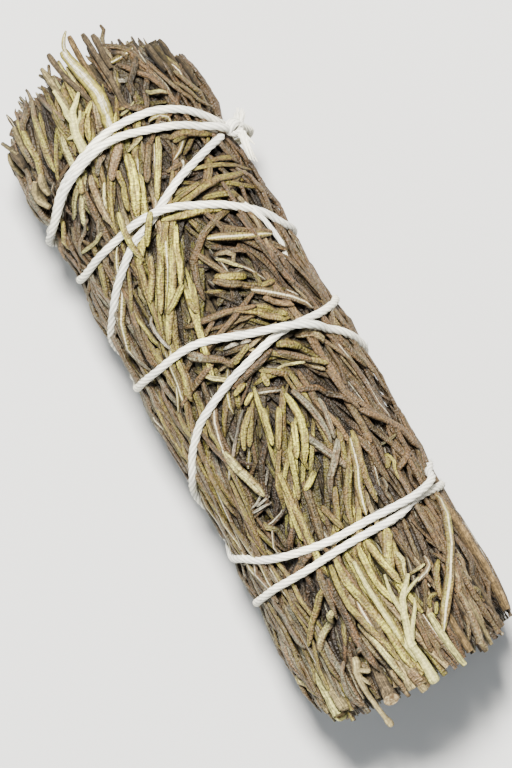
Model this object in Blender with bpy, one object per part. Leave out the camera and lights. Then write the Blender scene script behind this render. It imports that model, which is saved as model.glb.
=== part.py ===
"""A dried rosemary bundle tied with cotton string, lying on its side.

+X runs along the bundle, +Z is up, and the table is the plane z = 0.
Sizes below are millimetres and degrees; to_scene() turns them into Blender's metres.

A place in the bundle is (x, angle, radius): x along it, the angle round its axis
(0 at +Y, 90 on top, 270 on the table) and the radius from the axis. Sprigs lie in lanes.
A lane angle becomes a true angle by adding sway(), the way the herb was laid askew,
so that lanes which are apart stay apart along their whole length. All of that describes
an even roll. to_scene() then makes it stouter towards the cut end and bows it a little,
with its underside kept on the table.
"""

import math
import random

import bmesh
import bpy
import numpy as np

MM = 0.001

# The bundle
AXIS_Z = 15.3
ROLL_SHAPE = [  # rows of (x, how stout, y of the axis)
    (-56.0, 1.0, -1.1), (-45.0, 1.01, -1.05), (-38.0, 1.015, -1.0), (-20.0, 1.022, -0.4),
    (-5.0, 1.045, -0.45), (10.0, 1.06, -0.52), (20.0, 1.05, -0.55), (40.0, 1.085, -0.85),
    (52.0, 1.05, -0.65),
]
NEEDLE_REACH = 15.7
LEFT_END = -51.0
RIGHT_END = 52.0
TABLE_GAP = 0.15
PIECE_GAP = 0.3

# A needle: three-sided, with its ridge outwards
NEEDLE_WIDTH = 1.25
NEEDLE_DEPTH = 0.85
NEEDLE_RIDGE = 0.56 * NEEDLE_DEPTH
NEEDLE_SOLE = NEEDLE_RIDGE - NEEDLE_DEPTH
NEEDLE_CLEARANCE = 0.62 * NEEDLE_DEPTH
NEEDLE_ROOT_SHARE = 0.8
NEEDLE_LENGTHS = (13.0, 19.0)
NEEDLE_WIDTH_SHARES = (0.85, 1.05)
NEEDLE_START_IN_LANE = 0.72
NEEDLE_DRIFT_IN_LANE = (0.2, 1.1)
NEEDLE_BEND_SHARES = (0.0, 0.3, 0.74, 1.0)
NEEDLE_TIP_DIP = 0.1

# The outer sprigs: a packed core, needles rooted in it, and one sawn stem
OUTER_SPRIGS = 12
NEEDLES_PER_SPRIG = 14
END_NEEDLES_PER_SPRIG = 4
NEEDLE_LAYERS = (13.9, 14.6, 15.15)
ROOT_RADIUS = 12.35
LANE_RADIUS = 14.0
CORE_INSET = 6.0
CORE_TAPER = 4.0
CORE_TAPER_SHARE = 0.55
CORE_STATIONS = 7
CORE_RADII = (11.2, 12.7, 13.4)
CORE_BROAD_SHARE = 0.82
CORE_SLIM_SHARE = 0.5
CORE_SHOULDER_SHARE = 0.886
CORE_STRAIGHT_INSET = 14.0
STEM_RADIUS = 1.15
STEM_SUNK = 12.0
STEM_LIFTED = 12.7
STEM_PROUD = 0.8
STEM_ROOT_RADIUS = 0.8

# The inner sprigs and the heart: cores that show only through what stands out of their ends
INNER_SPRIGS = 6
INNER_TURN = 15.0
INNER_INSET = 4.0
INNER_TAPER = 3.0
INNER_TAPER_SHARE = 0.7
INNER_SECTION = [(-24, 6.2), (0, 5.9), (24, 6.2), (26, 9.6), (10, 10.4), (-10, 10.4), (-26, 9.6)]
INNER_NEEDLE_SPACING = 11.0
INNER_NEEDLE_RADII = (7.2, 9.4)
INNER_STEM_RADIUS = 8.3
INNER_STEM_PROUD = 1.5
HEART_INSET = 3.5
HEART_RADIUS = 5.0
HEART_END_RADIUS = 3.6
HEART_NEEDLES = 6
HEART_NEEDLE_RADIUS = 2.6
HEART_STEM_RADIUS = 0.2
HEART_STEM_PROUD = 2.0

# The string
STRING_DIAMETER = 1.3
STRING_BED = [(-45.0, 15.2), (-24.0, 15.2), (-12.0, 15.6), (15.0, 15.65), (26.0, 15.45), (35.0, 15.45)]
STRAND_SPACING = 1.52
STRING_STEP = 0.5
STRING_CHORD_ERROR = 0.12
ROUTE_SAMPLES = 6000
CROSSING_APART = 12.0
CROSSING_SHOULDER = 2.4

# Front runs of the string, each from the +Y edge over the top to the -Y edge, then the
# way back under the bundle to the start of the next one. Rows are (x, degrees).
STRING_RUNS = [
    [(-33.0, 26), (-32.3, 44), (-31.5, 57), (-30.7, 68), (-29.6, 78), (-28.5, 86), (-27.6, 92),
     (-26.6, 100), (-25.9, 108), (-24.7, 116), (-22.7, 127), (-20.3, 140), (-18.2, 150), (-16.6, 160),
     (-14.3, 180), (-8.5, 222), (-5.5, 270), (-4.4, 320)],
    [(-3.3, 0), (-2.8, 22), (-2.65, 34), (-2.8, 47), (-3.0, 56), (-3.1, 63), (-2.95, 69), (-2.4, 79),
     (-1.5, 90), (-0.6, 101), (0.5, 111), (1.8, 122), (3.0, 131), (4.6, 139), (6.4, 148), (8.6, 157),
     (11.8, 180), (18.5, 218), (23.4, 270), (26.6, 320)],
    [(28.9, 0), (28.8, 23), (28.6, 38), (28.8, 48), (29.3, 55), (29.5, 65), (29.4, 77), (29.35, 88),
     (29.45, 100), (29.7, 114), (29.8, 127), (29.85, 142), (30.1, 154), (30.5, 180), (29.5, 225),
     (28.4, 270), (26.6, 320)],
    [(25.2, 0), (26.4, 20), (27.3, 29), (27.9, 41), (28.1, 51), (27.95, 62), (27.75, 76), (27.7, 90),
     (27.6, 98), (27.15, 109), (26.6, 120), (25.9, 131), (24.8, 144), (23.8, 154), (22.6, 180),
     (17.0, 218), (11.0, 270), (7.2, 320)],
    [(5.0, 0), (2.6, 18), (0.8, 31), (-0.5, 42), (-1.6, 50), (-2.7, 58), (-3.4, 64), (-4.3, 73),
     (-5.3, 83), (-6.3, 92), (-7.2, 101), (-7.7, 108), (-7.85, 117), (-7.6, 127), (-7.2, 139),
     (-6.9, 153), (-6.6, 180), (-9.5, 216), (-12.5, 270), (-14.4, 320)],
    [(-15.6, 0), (-17.6, 21), (-19.4, 29), (-20.8, 37), (-22.4, 47), (-23.9, 56), (-25.1, 65),
     (-26.2, 74), (-27.2, 83), (-27.8, 92), (-27.85, 101), (-27.5, 112), (-26.9, 124), (-26.2, 138),
     (-25.4, 151), (-25.0, 180), (-27.4, 230), (-29.2, 270), (-29.6, 300), (-30.2, 322)],
    [(-33.8, 0), (-35.2, 18), (-37.0, 30), (-38.8, 41), (-40.2, 52), (-41.1, 61), (-41.6, 71),
     (-41.85, 81), (-41.7, 93), (-41.1, 103), (-40.1, 114), (-38.8, 126), (-37.3, 137), (-35.8, 146),
     (-34.6, 154), (-33.5, 180), (-33.3, 225), (-33.1, 270), (-32.9, 320)],
    [(-32.6, 0), (-33.9, 27), (-35.3, 36), (-36.7, 46), (-37.8, 56), (-38.7, 66), (-39.5, 76),
     (-40.2, 86), (-40.4, 95), (-39.9, 105), (-38.9, 116), (-37.6, 127), (-35.8, 138), (-34.2, 148),
     (-32.0, 180), (-31.6, 225), (-31.4, 270), (-31.4, 320)],
]
# The loose ends as (x, degrees, radius), from the free tip inwards at the start and
# outwards to the free tip at the end.
FIRST_TAIL = [(-36.1, 10.0, 18.3), (-35.0, 12.0, 18.1), (-34.0, 16.0, 17.5)]
KNOT = (-33.3, 20.0, 17.0)
LAST_TAIL = [(-31.4, 19.0, 17.4), (-29.6, 23.0, 17.2), (-27.7, 25.0, 16.9)]
LAST_TURN_IN = -31.9
# The two turns of the knot: their radius, and how each ring is tilted about y and z.
KNOT_TURN = 0.95
KNOT_TILTS = ((75, 20), (20, 70))

# Woody pieces that lie on the outside: rows of (x, true angle, radius, thickness radius).
BARE_TWIGS = {
    "pale_stem": [[(-56.2, 89, 15.1, 0.75), (-52.5, 88, 15.2, 1.0), (-48.0, 85, 15.3, 1.15),
                   (-45.0, 86, 15.2, 1.2), (-43.5, 88, 15.0, 1.15)]],
    "forked_stem_left": [[(-43.2, 108, 14.9, 1.0), (-45.0, 106, 15.2, 1.05), (-46.8, 103, 15.3, 0.9),
                          (-48.9, 95, 15.4, 0.55)],
                         [(-46.3, 104, 15.3, 0.9), (-48.0, 106, 15.5, 0.7), (-51.4, 108, 15.3, 0.5)]],
    "forked_stem_right": [[(53.4, 87, 15.0, 1.1), (51.2, 88, 15.2, 1.0), (48.2, 89, 15.3, 1.1),
                           (46.2, 88, 15.3, 1.05), (43.2, 84, 15.4, 1.0), (40.6, 81, 15.4, 0.8),
                           (37.6, 71, 15.3, 0.5)],
                          [(46.5, 89, 15.2, 0.8), (41.5, 91, 15.3, 0.7), (35.5, 92, 15.1, 0.5)]],
    "knob_stalk": [[(44.9, 119, 15.1, 0.6), (47.0, 121, 15.3, 0.65), (49.5, 122, 15.4, 0.5),
                    (52.5, 121, 15.4, 0.42), (55.2, 120, 15.2, 0.45), (55.6, 120, 15.2, 0.7),
                    (56.3, 120, 15.1, 0.65)]],
    "brown_twig": [[(31.0, 17, 15.2, 0.65), (36.0, 16, 15.3, 0.72), (43.0, 14, 15.4, 0.76),
                    (49.6, 16, 15.4, 0.7)]],
}

# Which end each outer sprig's cut stem is at (-1 left, +1 right), from the bottom lane round.
CUT_ENDS = [1, -1, 1, -1, 1, -1, 1, 1, 1, -1, 1, -1]
BROWN_LANES = {270, 330, 0, 30, 60, 240}
# Flat-lying needles that carry the bundle: (first x, last x, y from the axis).
RESTING_NEEDLES = [(-17.5, -26.5, -2.1), (-17.5, -26.5, 2.1), (-2.5, 7.0, -2.1), (-2.5, 7.0, 2.1),
                   (33.0, 42.5, -2.1), (33.0, 42.5, 2.1)]


def clear_scene():
    for obj in list(bpy.data.objects):
        bpy.data.objects.remove(obj, do_unlink=True)


def new_collection(name):
    made = bpy.data.collections.new(name)
    bpy.context.scene.collection.children.link(made)
    return made


def new_material(name, colour, roughness):
    material = bpy.data.materials.new(name)
    material.use_nodes = True
    shader = material.node_tree.nodes["Principled BSDF"]
    shader.inputs["Base Color"].default_value = (*colour, 1.0)
    shader.inputs["Roughness"].default_value = roughness
    shader.inputs["Metallic"].default_value = 0.0
    return material


def smooth_step(low, high, value):
    share = np.clip((value - low) / (high - low), 0.0, 1.0)
    return share * share * (3 - 2 * share)


def angle_between(a, b):
    """a minus b, brought into -180 to 180."""
    return (a - b + 180.0) % 360.0 - 180.0


def hill(angle, centre, width):
    return np.exp(-((angle_between(angle, centre) / width) ** 2))


def sway(x, lane):
    """How far the needles' lie has turned round the bundle at x, in degrees."""
    top = 17.0 * hill(lane, 100, 50) * smooth_step(-42, -4, x)
    side = -9.0 * hill(lane, 35, 32) * smooth_step(0, 30, x)
    under = 10.0 * hill(lane, 235, 50) * smooth_step(-30, 35, x)
    return top + side + under


def spread(x, lane):
    """How much wider a lane is here than its nominal angle."""
    return 1.0 + (sway(x, lane + 0.5) - sway(x, lane - 0.5))


def from_axis(x, angle, radius):
    """Rows of (x, y, z) measured from the bundle's axis."""
    turn = np.radians(angle)
    return np.stack([x + 0 * turn, radius * np.cos(turn), radius * np.sin(turn)], axis=-1)


def to_scene(points):
    """Points measured from the axis of the even roll, in metres on the table."""
    x, y, z = np.moveaxis(np.asarray(points, float), -1, 0)
    at, stout, bow = np.array(ROLL_SHAPE).T
    stoutness = np.interp(x, at, stout)
    return np.stack([x, y * stoutness + np.interp(x, at, bow), (z + AXIS_Z) * stoutness], axis=-1) * MM


# ---------------------------------------------------------------- string

def through(knots, values, wanted):
    """A smooth curve through (knots, values), read at wanted."""
    slopes = np.gradient(values, knots)
    index = np.clip(np.searchsorted(knots, wanted) - 1, 0, len(knots) - 2)
    width = knots[index + 1] - knots[index]
    t = (wanted - knots[index]) / width
    rise = values[index + 1] - values[index]
    a = slopes[index] * width - rise
    b = -slopes[index + 1] * width + rise
    return values[index] + t * rise + t * (1 - t) * (a * (1 - t) + b * t)


def string_bed(x, angle):
    """Radius at which a single strand lies: sunk as deep as it was pulled, and flat over the table."""
    flat = AXIS_Z - TABLE_GAP - STRING_DIAMETER / 2
    down = np.maximum(-np.sin(np.radians(angle)), 0.05)
    return np.minimum(np.interp(x, *np.array(STRING_BED).T), flat / down)


def laid_over(x, angle, radius):
    """Raises each strand where it crosses one laid earlier, with easy shoulders."""
    count = len(x)
    apart = int(CROSSING_APART / STRING_STEP)
    shoulder = int(CROSSING_SHOULDER / STRING_STEP)
    window = np.hanning(2 * shoulder + 3)[1:-1]
    window /= window.sum()
    lifted = radius.copy()
    for start in range(0, count, shoulder):
        block = slice(start, min(start + shoulder, count))
        earlier = max(0, start - apart)
        if not earlier:
            continue
        across = x[block, None] - x[None, :earlier]
        turned = angle_between(angle[block, None], angle[None, :earlier])
        gap2 = across**2 + (np.radians(turned) * radius[block, None]) ** 2
        need = lifted[None, :earlier] + np.sqrt(np.maximum(STRAND_SPACING**2 - gap2, 0))
        need = np.where(gap2 < STRAND_SPACING**2, need, 0).max(axis=1)
        lifted[block] = np.maximum(lifted[block], need)
    rise = lifted - radius
    padded = np.pad(rise, shoulder)
    widest = np.max([padded[i:i + count] for i in range(2 * shoulder + 1)], axis=0)
    eased = np.convolve(np.pad(widest, shoulder, mode="edge"), window, mode="valid")
    return radius + np.maximum(eased, rise)


def string_route():
    """Rows of (x, angle, radius) at even steps along the wound part of the string."""
    rows = [(x, angle + 360.0 * turn) for turn, run in enumerate(STRING_RUNS) for x, angle in run]
    last_turn = 360.0 * len(STRING_RUNS)
    rows.append((LAST_TURN_IN, last_turn))
    rows.append((KNOT[0], last_turn + KNOT[1]))
    knots = np.array([angle for _, angle in rows])
    values = np.array([x for x, _ in rows])
    fine = np.linspace(knots[0], knots[-1], ROUTE_SAMPLES)
    x = through(knots, values, fine)
    radius = string_bed(x, fine)
    walked = np.linalg.norm(np.diff(from_axis(x, fine, radius), axis=0), axis=1)
    along = np.concatenate([[0], np.cumsum(walked)])
    even = np.linspace(0, along[-1], int(along[-1] / STRING_STEP))
    x, fine = np.interp(even, along, x), np.interp(even, along, fine)
    return np.stack([x, fine, laid_over(x, fine, string_bed(x, fine))], axis=1)


def thinned(points, error):
    """The fewest of the points that stay within error of the line through all of them."""
    if len(points) < 3:
        return points
    chord = points[-1] - points[0]
    away = points - points[0]
    share = np.clip(away @ chord / max(chord @ chord, 1e-12), 0, 1)
    off = np.linalg.norm(away - share[:, None] * chord, axis=1)
    worst = int(off.argmax())
    if off[worst] <= error:
        return points[[0, -1]]
    return np.concatenate([thinned(points[:worst + 1], error)[:-1], thinned(points[worst:], error)])


def tube(name, points, radii, sides_setting, collection):
    """A capped round tube through the points, as a mesh."""
    curve = bpy.data.curves.new(name, "CURVE")
    curve.dimensions = "3D"
    curve.bevel_depth = MM
    curve.bevel_resolution = sides_setting
    curve.use_fill_caps = True
    curve.twist_mode = "MINIMUM"
    spline = curve.splines.new("POLY")
    spline.points.add(len(points) - 1)
    for point, place, radius in zip(spline.points, to_scene(points), radii):
        point.co = (*place, 1.0)
        point.radius = radius
    drawn = bpy.data.objects.new(name, curve)
    collection.objects.link(drawn)
    graph = bpy.context.evaluated_depsgraph_get()
    mesh = bpy.data.meshes.new_from_object(drawn.evaluated_get(graph))
    bpy.data.objects.remove(drawn, do_unlink=True)
    edit = bmesh.new()
    edit.from_mesh(mesh)
    bmesh.ops.remove_doubles(edit, verts=edit.verts, dist=1e-6)
    bmesh.ops.triangulate(edit, faces=edit.faces)
    bmesh.ops.recalc_face_normals(edit, faces=edit.faces)
    edit.to_mesh(mesh)
    edit.free()
    solid = bpy.data.objects.new(name, mesh)
    collection.objects.link(solid)
    return solid


def keep_largest_shell(mesh):
    """Drops loose scraps and fills sealed hollows, which are all separate shells of the mesh."""
    edit = bmesh.new()
    edit.from_mesh(mesh)
    left = set(edit.verts)
    shells = []
    while left:
        shell, waiting = set(), [left.pop()]
        while waiting:
            vert = waiting.pop()
            shell.add(vert)
            near = {edge.other_vert(vert) for edge in vert.link_edges} & left
            left -= near
            waiting.extend(near)
        shells.append(shell)
    shells.sort(key=len)
    for shell in shells[:-1]:
        bmesh.ops.delete(edit, geom=list(shell), context="VERTS")
    edit.to_mesh(mesh)
    edit.free()


def finish_with(solid, material):
    solid.data.materials.clear()
    solid.data.materials.append(material)


def join(body, pieces, crosses_itself=False):
    """One Boolean union of body with everything in the collection pieces, which is then removed."""
    union = body.modifiers.new("join", "BOOLEAN")
    union.operation = "UNION"
    union.operand_type = "COLLECTION"
    union.collection = pieces
    union.solver = "EXACT"
    union.use_self = crosses_itself
    graph = bpy.context.evaluated_depsgraph_get()
    mesh = bpy.data.meshes.new_from_object(body.evaluated_get(graph))
    body.modifiers.clear()
    body.data = mesh
    keep_largest_shell(mesh)
    for piece in list(pieces.objects):
        bpy.data.objects.remove(piece, do_unlink=True)
    bpy.data.collections.remove(pieces)


def build_string(route, bundle, material):
    wound = from_axis(route[:, 0], route[:, 1], route[:, 2])
    first = from_axis(*np.array(FIRST_TAIL).T)
    last = from_axis(*np.array([KNOT, *LAST_TAIL]).T)
    line = np.concatenate([first, thinned(wound, STRING_CHORD_ERROR), last])
    string = tube("string", line, [STRING_DIAMETER / 2] * len(line), 1, bundle)
    turns = new_collection("knot turns")
    centre = to_scene(from_axis(*KNOT))
    for tilt_y, tilt_z in KNOT_TILTS:
        bpy.ops.mesh.primitive_torus_add(
            major_segments=10, minor_segments=5, major_radius=KNOT_TURN * MM,
            minor_radius=STRING_DIAMETER / 2 * MM, location=tuple(centre),
            rotation=(0, math.radians(tilt_y), math.radians(tilt_z)))
        turn = bpy.context.active_object
        for home in list(turn.users_collection):
            home.objects.unlink(turn)
        turns.objects.link(turn)
    join(string, turns, crosses_itself=True)
    finish_with(string, material)
    length = np.linalg.norm(np.diff(to_scene(line), axis=0), axis=1).sum() / MM
    print("string", round(float(length)), "mm long,",
          len(line), "points, lowest", round(float(to_scene(line)[:, 2].min() / MM), 2))


# ---------------------------------------------------------------- room for the needles

SAMPLES_PER_SPAN = 8
PRESSING_ROUNDS = 12
PRESSING_ERROR = 0.01


class Pressers:
    """What lies on top of the needles: the string and the bare twigs, as points with a thickness."""

    def __init__(self, route):
        places = [from_axis(route[:, 0], route[:, 1], route[:, 2])]
        sizes = [np.full(len(route), STRING_DIAMETER / 2)]
        for arms in BARE_TWIGS.values():
            for arm in arms:
                rows = np.array(arm, float)
                steps = np.linspace(0, len(rows) - 1, 12 * len(rows))
                index = np.arange(len(rows))
                fine = [np.interp(steps, index, rows[:, k]) for k in range(4)]
                places.append(from_axis(*fine[:3]))
                sizes.append(fine[3])
        places = np.concatenate(places)
        self.x = places[:, 0]
        self.angle = np.degrees(np.arctan2(places[:, 2], places[:, 1]))
        self.radius = np.hypot(places[:, 1], places[:, 2])
        self.size = np.concatenate(sizes)

    def ceiling(self, points, half):
        """Greatest radius at which something of this half thickness is clear, at each point."""
        angle = np.degrees(np.arctan2(points[:, 2], points[:, 1]))
        across = points[:, 0, None] - self.x
        turned = np.radians(angle_between(angle[:, None], self.angle)) * self.radius
        keep = self.size + PIECE_GAP + half
        room = self.radius - np.sqrt(np.maximum(keep**2 - across**2 - turned**2, 0))
        room = np.where(across**2 + turned**2 < keep**2, room, NEEDLE_REACH - half).min(axis=1)
        down = np.maximum(-np.sin(np.radians(angle)), 1e-3)
        over_table = (AXIS_Z - TABLE_GAP - half) / down
        return np.minimum(np.minimum(room, NEEDLE_REACH - half), over_table)


def pressed(rows, pressers):
    """Lowers the rows of a needle's centre line until the whole of it is clear. The root stays."""
    rows = rows.copy()
    shares = np.linspace(0, 1, SAMPLES_PER_SPAN)[:, None]
    for _ in range(PRESSING_ROUNDS):
        angle = rows[:, 1] + sway(rows[:, 0], rows[:, 1])
        points = from_axis(rows[:, 0], angle, rows[:, 2])
        done = True
        for k in range(len(rows) - 1):
            samples = points[k] * (1 - shares) + points[k + 1] * shares
            radius = np.hypot(samples[:, 1], samples[:, 2])
            excess = float((radius - pressers.ceiling(samples, NEEDLE_CLEARANCE)).max())
            if excess > PRESSING_ERROR:
                done = False
                rows[k + 1, 2] -= excess
                if k:
                    rows[k, 2] -= excess
        if done:
            break
    return rows


# ---------------------------------------------------------------- sprigs

def loft(name, rings, collection, tip=None):
    """A closed mesh through rings of points, capped, or drawn to a tip at the far end."""
    edit = bmesh.new()
    loops = [[edit.verts.new(point) for point in to_scene(ring)] for ring in rings]
    for near, far in zip(loops, loops[1:]):
        for i in range(len(near)):
            j = (i + 1) % len(near)
            edit.faces.new((near[i], near[j], far[j], far[i]))
    edit.faces.new(loops[0])
    if tip is None:
        edit.faces.new(loops[-1])
    else:
        point = edit.verts.new(to_scene(tip))
        for i in range(len(loops[-1])):
            edit.faces.new((loops[-1][i], loops[-1][(i + 1) % len(loops[-1])], point))
    bmesh.ops.triangulate(edit, faces=edit.faces)
    bmesh.ops.recalc_face_normals(edit, faces=edit.faces)
    mesh = bpy.data.meshes.new(name)
    edit.to_mesh(mesh)
    edit.free()
    made = bpy.data.objects.new(name, mesh)
    collection.objects.link(made)
    return made


def unit(vector):
    return vector / np.linalg.norm(vector)


def outward_at(angle):
    """Which way is out of the bundle at each of the angles."""
    return from_axis(0 * angle, angle, 1.0 + 0 * angle)


def needle(points, outward, collection, width=NEEDLE_WIDTH):
    """A three-sided needle along the points, drawn to a tip at the last one."""
    rings = []
    tangents = np.gradient(points, axis=0)
    for k, point in enumerate(points[:-1]):
        along = unit(tangents[k])
        out = unit(outward[k] - along * (outward[k] @ along))
        side = np.cross(along, out) * width / 2 * (1.0 if k else NEEDLE_ROOT_SHARE)
        sole = point + out * NEEDLE_SOLE
        rings.append([point + out * NEEDLE_RIDGE, sole + side, sole - side])
    loft("needle", rings, collection, tip=points[-1])


def lane_needle(rng, lane, half_lane, root_x, toward, length, layer, collection, pressers):
    """One needle of an outer sprig. It keeps inside its lane and dips under string and twigs."""
    start = rng.uniform(-NEEDLE_START_IN_LANE, NEEDLE_START_IN_LANE)
    end = min(1.0, max(-1.0, start + rng.choice((-1, 1)) * rng.uniform(*NEEDLE_DRIFT_IN_LANE)))
    share = np.array(NEEDLE_BEND_SHARES)
    x = root_x + toward * length * share
    limit = half_lane - np.degrees((NEEDLE_WIDTH + PIECE_GAP) / 2 / LANE_RADIUS) / spread(x, lane)
    lane_angle = lane + limit * (start + (end - start) * share)
    radius = np.array([ROOT_RADIUS, layer, layer, layer - NEEDLE_TIP_DIP])
    rows = pressed(np.stack([x, lane_angle, radius], axis=1), pressers)
    angle = rows[:, 1] + sway(rows[:, 0], rows[:, 1])
    points = from_axis(rows[:, 0], angle, rows[:, 2])
    needle(points, outward_at(angle), collection, NEEDLE_WIDTH * rng.uniform(*NEEDLE_WIDTH_SHARES))


def resting_needle(first, last, y, leaves):
    """A needle whose underside lies in the plane z = 0 between first and last."""
    step = (last - first) / 3
    x = np.array([first - step, first, last - step, last])
    z = np.array([-ROOT_RADIUS, -AXIS_Z, -AXIS_Z, 0.3 - AXIS_Z])
    points = np.stack([x, np.full(4, y), z], axis=1)
    side = np.array([0.0, NEEDLE_WIDTH * 0.55, 0.0])
    ridge = np.array([0.0, 0.0, NEEDLE_DEPTH])
    rings = [[point + ridge, point + side, point - side] for point in points[:-1]]
    loft("resting needle", rings, leaves, tip=points[-1])


def end_needle(face_x, side, reach, lane, radius, leaves):
    """A straight needle that stands out of an inner core's end face."""
    x = np.array([face_x - side * 3, face_x + side, reach - side, reach])
    angle = lane + sway(x, lane + 0 * x)
    needle(from_axis(x, angle, radius + 0 * x), outward_at(angle), leaves)


def sector_core(name, lane, section, stations, collection):
    """A sprig's packed core: a loft through stations of (x, scale), its section in (degrees, radius)."""
    middle = np.mean([radius for _, radius in section])
    rings = []
    for x, scale in stations:
        ring = []
        for angle, radius in section:
            at = lane + angle * scale
            ring.append(from_axis(x, at + sway(x, at), middle + (radius - middle) * scale))
        rings.append(ring)
    return loft(name, rings, collection)


def outer_core(number, lane, half_lane, left, right, bundle):
    low, shoulder, top = CORE_RADII
    broad, slim = half_lane * CORE_BROAD_SHARE, half_lane * CORE_SLIM_SHARE
    widest = half_lane * CORE_SHOULDER_SHARE
    section = [(-broad, low), (broad, low), (widest, shoulder), (slim, top), (-slim, top),
               (-widest, shoulder)]
    straight = np.linspace(left + CORE_STRAIGHT_INSET, right - CORE_STRAIGHT_INSET, CORE_STATIONS)
    full = [(x, 1.0) for x in straight]
    stations = [(left, CORE_TAPER_SHARE), (left + CORE_TAPER, 1.0), *full,
                (right - CORE_TAPER, 1.0), (right, CORE_TAPER_SHARE)]
    return sector_core(f"sprig_{number + 1:02d}", lane, section, stations, bundle)


def outer_stem(lane, end_x, inner_x, collection):
    """The sawn woody stem that shows at an outer sprig's cut end."""
    x = np.linspace(inner_x, end_x, 4)
    lanes = np.full(4, lane, float)
    points = from_axis(x, lanes + sway(x, lanes), np.linspace(STEM_SUNK, STEM_LIFTED, 4))
    tube("stem", points, [STEM_ROOT_RADIUS, STEM_RADIUS, STEM_RADIUS, STEM_RADIUS * 1.05], 1, collection)


def build_outer_sprig(number, lane, bundle, material, pressers):
    rng = random.Random(100 + number)
    half_lane = 180.0 / OUTER_SPRIGS
    cut = CUT_ENDS[number]
    left, right = LEFT_END + CORE_INSET, RIGHT_END - CORE_INSET
    sprig = outer_core(number, lane, half_lane, left, right, bundle)
    leaves = new_collection("needles")
    reach = right - left - CORE_INSET
    for i in range(NEEDLES_PER_SPRIG):
        length = rng.uniform(*NEEDLE_LENGTHS)
        along = (i + rng.uniform(0.2, 0.8)) / NEEDLES_PER_SPRIG
        root_x = (left + 3 + along * reach) if cut < 0 else (right - 3 - along * reach)
        room = (RIGHT_END - root_x) if cut < 0 else (root_x - LEFT_END)
        length = min(length, room - rng.uniform(-1.2, 1.5))
        lane_needle(rng, lane, half_lane, root_x, -cut, length, NEEDLE_LAYERS[i % 3], leaves, pressers)
    for i in range(END_NEEDLES_PER_SPRIG):
        root_x = (right - 4 - i % 3) if cut > 0 else (left + 4 + i % 3)
        end_x = RIGHT_END if cut > 0 else LEFT_END
        length = abs(end_x - root_x) + rng.uniform(-2.0, 1.5)
        lane_needle(rng, lane, half_lane, root_x, cut, length, NEEDLE_LAYERS[i % 3], leaves, pressers)
    end_x = (RIGHT_END + STEM_PROUD) if cut > 0 else (LEFT_END - STEM_PROUD)
    inner_x = (right - CORE_INSET) if cut > 0 else (left + CORE_INSET)
    outer_stem(lane + rng.uniform(-3, 3), end_x, inner_x, leaves)
    if lane == 270:
        for first, last, y in RESTING_NEEDLES:
            resting_needle(first, last, y, leaves)
    join(sprig, leaves)
    finish_with(sprig, material)


def build_inner_sprig(number, lane, bundle, material):
    """A sprig buried under the outer ones. It shows only at the two ends."""
    rng = random.Random(300 + number)
    left, right = LEFT_END + INNER_INSET, RIGHT_END - INNER_INSET
    stations = [(left, INNER_TAPER_SHARE), (left + INNER_TAPER, 1.0), (0.5 * (left + right), 1.0),
                (right - INNER_TAPER, 1.0), (right, INNER_TAPER_SHARE)]
    sprig = sector_core(f"inner_sprig_{number + 1:02d}", lane, INNER_SECTION, stations, bundle)
    leaves = new_collection("needles")
    for side, end_x, face_x in ((-1, LEFT_END, left), (1, RIGHT_END, right)):
        for i in range(4):
            angle = lane + (i - 1.5) * INNER_NEEDLE_SPACING + rng.uniform(-1, 1)
            reach = end_x + side * rng.uniform(-1.5, 2.5)
            end_needle(face_x, side, reach, angle, INNER_NEEDLE_RADII[i % 2], leaves)
    cut = 1 if number % 2 else -1
    end_x = (RIGHT_END + INNER_STEM_PROUD) if cut > 0 else (LEFT_END - INNER_STEM_PROUD)
    inner_x = (right - CORE_INSET) if cut > 0 else (left + CORE_INSET)
    x = np.linspace(inner_x, end_x, 3)
    stem = from_axis(x, lane + sway(x, lane + 0 * x), INNER_STEM_RADIUS + 0 * x)
    tube("stem", stem, [STEM_RADIUS] * 3, 1, leaves)
    join(sprig, leaves)
    finish_with(sprig, material)


def build_heart_sprig(bundle, material):
    """The sprig along the middle of the bundle."""
    rng = random.Random(400)
    left, right = LEFT_END + HEART_INSET, RIGHT_END - HEART_INSET
    x = np.array([left, left + INNER_TAPER, 0.0, right - INNER_TAPER, right])
    radii = [HEART_END_RADIUS, HEART_RADIUS, HEART_RADIUS, HEART_RADIUS, HEART_END_RADIUS]
    sprig = tube("heart_sprig", from_axis(x, 0 * x, 0 * x), radii, 2, bundle)
    leaves = new_collection("needles")
    for side, end_x, face_x in ((-1, LEFT_END, left), (1, RIGHT_END, right)):
        for i in range(HEART_NEEDLES):
            angle = i * 360 / HEART_NEEDLES + rng.uniform(-12, 12)
            reach = end_x + side * rng.uniform(-0.5, 2.8)
            end_needle(face_x, side, reach, angle, HEART_NEEDLE_RADIUS, leaves)
        stem_x = np.array([face_x - side * INNER_TAPER, end_x + side * HEART_STEM_PROUD])
        stem = from_axis(stem_x, 0 * stem_x, HEART_STEM_RADIUS + 0 * stem_x)
        tube("stem", stem, [STEM_RADIUS] * 2, 1, leaves)
    join(sprig, leaves)
    finish_with(sprig, material)


def build_twig(name, arms, bundle, material):
    """A bare woody piece: a main arm, and the side arms that grow from it."""
    tubes = []
    side_arms = new_collection("side arms")
    for number, arm in enumerate(arms):
        rows = np.array(arm, float)
        points = from_axis(rows[:, 0], rows[:, 1], rows[:, 2])
        tubes.append(tube(name, points, rows[:, 3], 2, side_arms if number else bundle))
    join(tubes[0], side_arms)
    finish_with(tubes[0], material)


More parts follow.
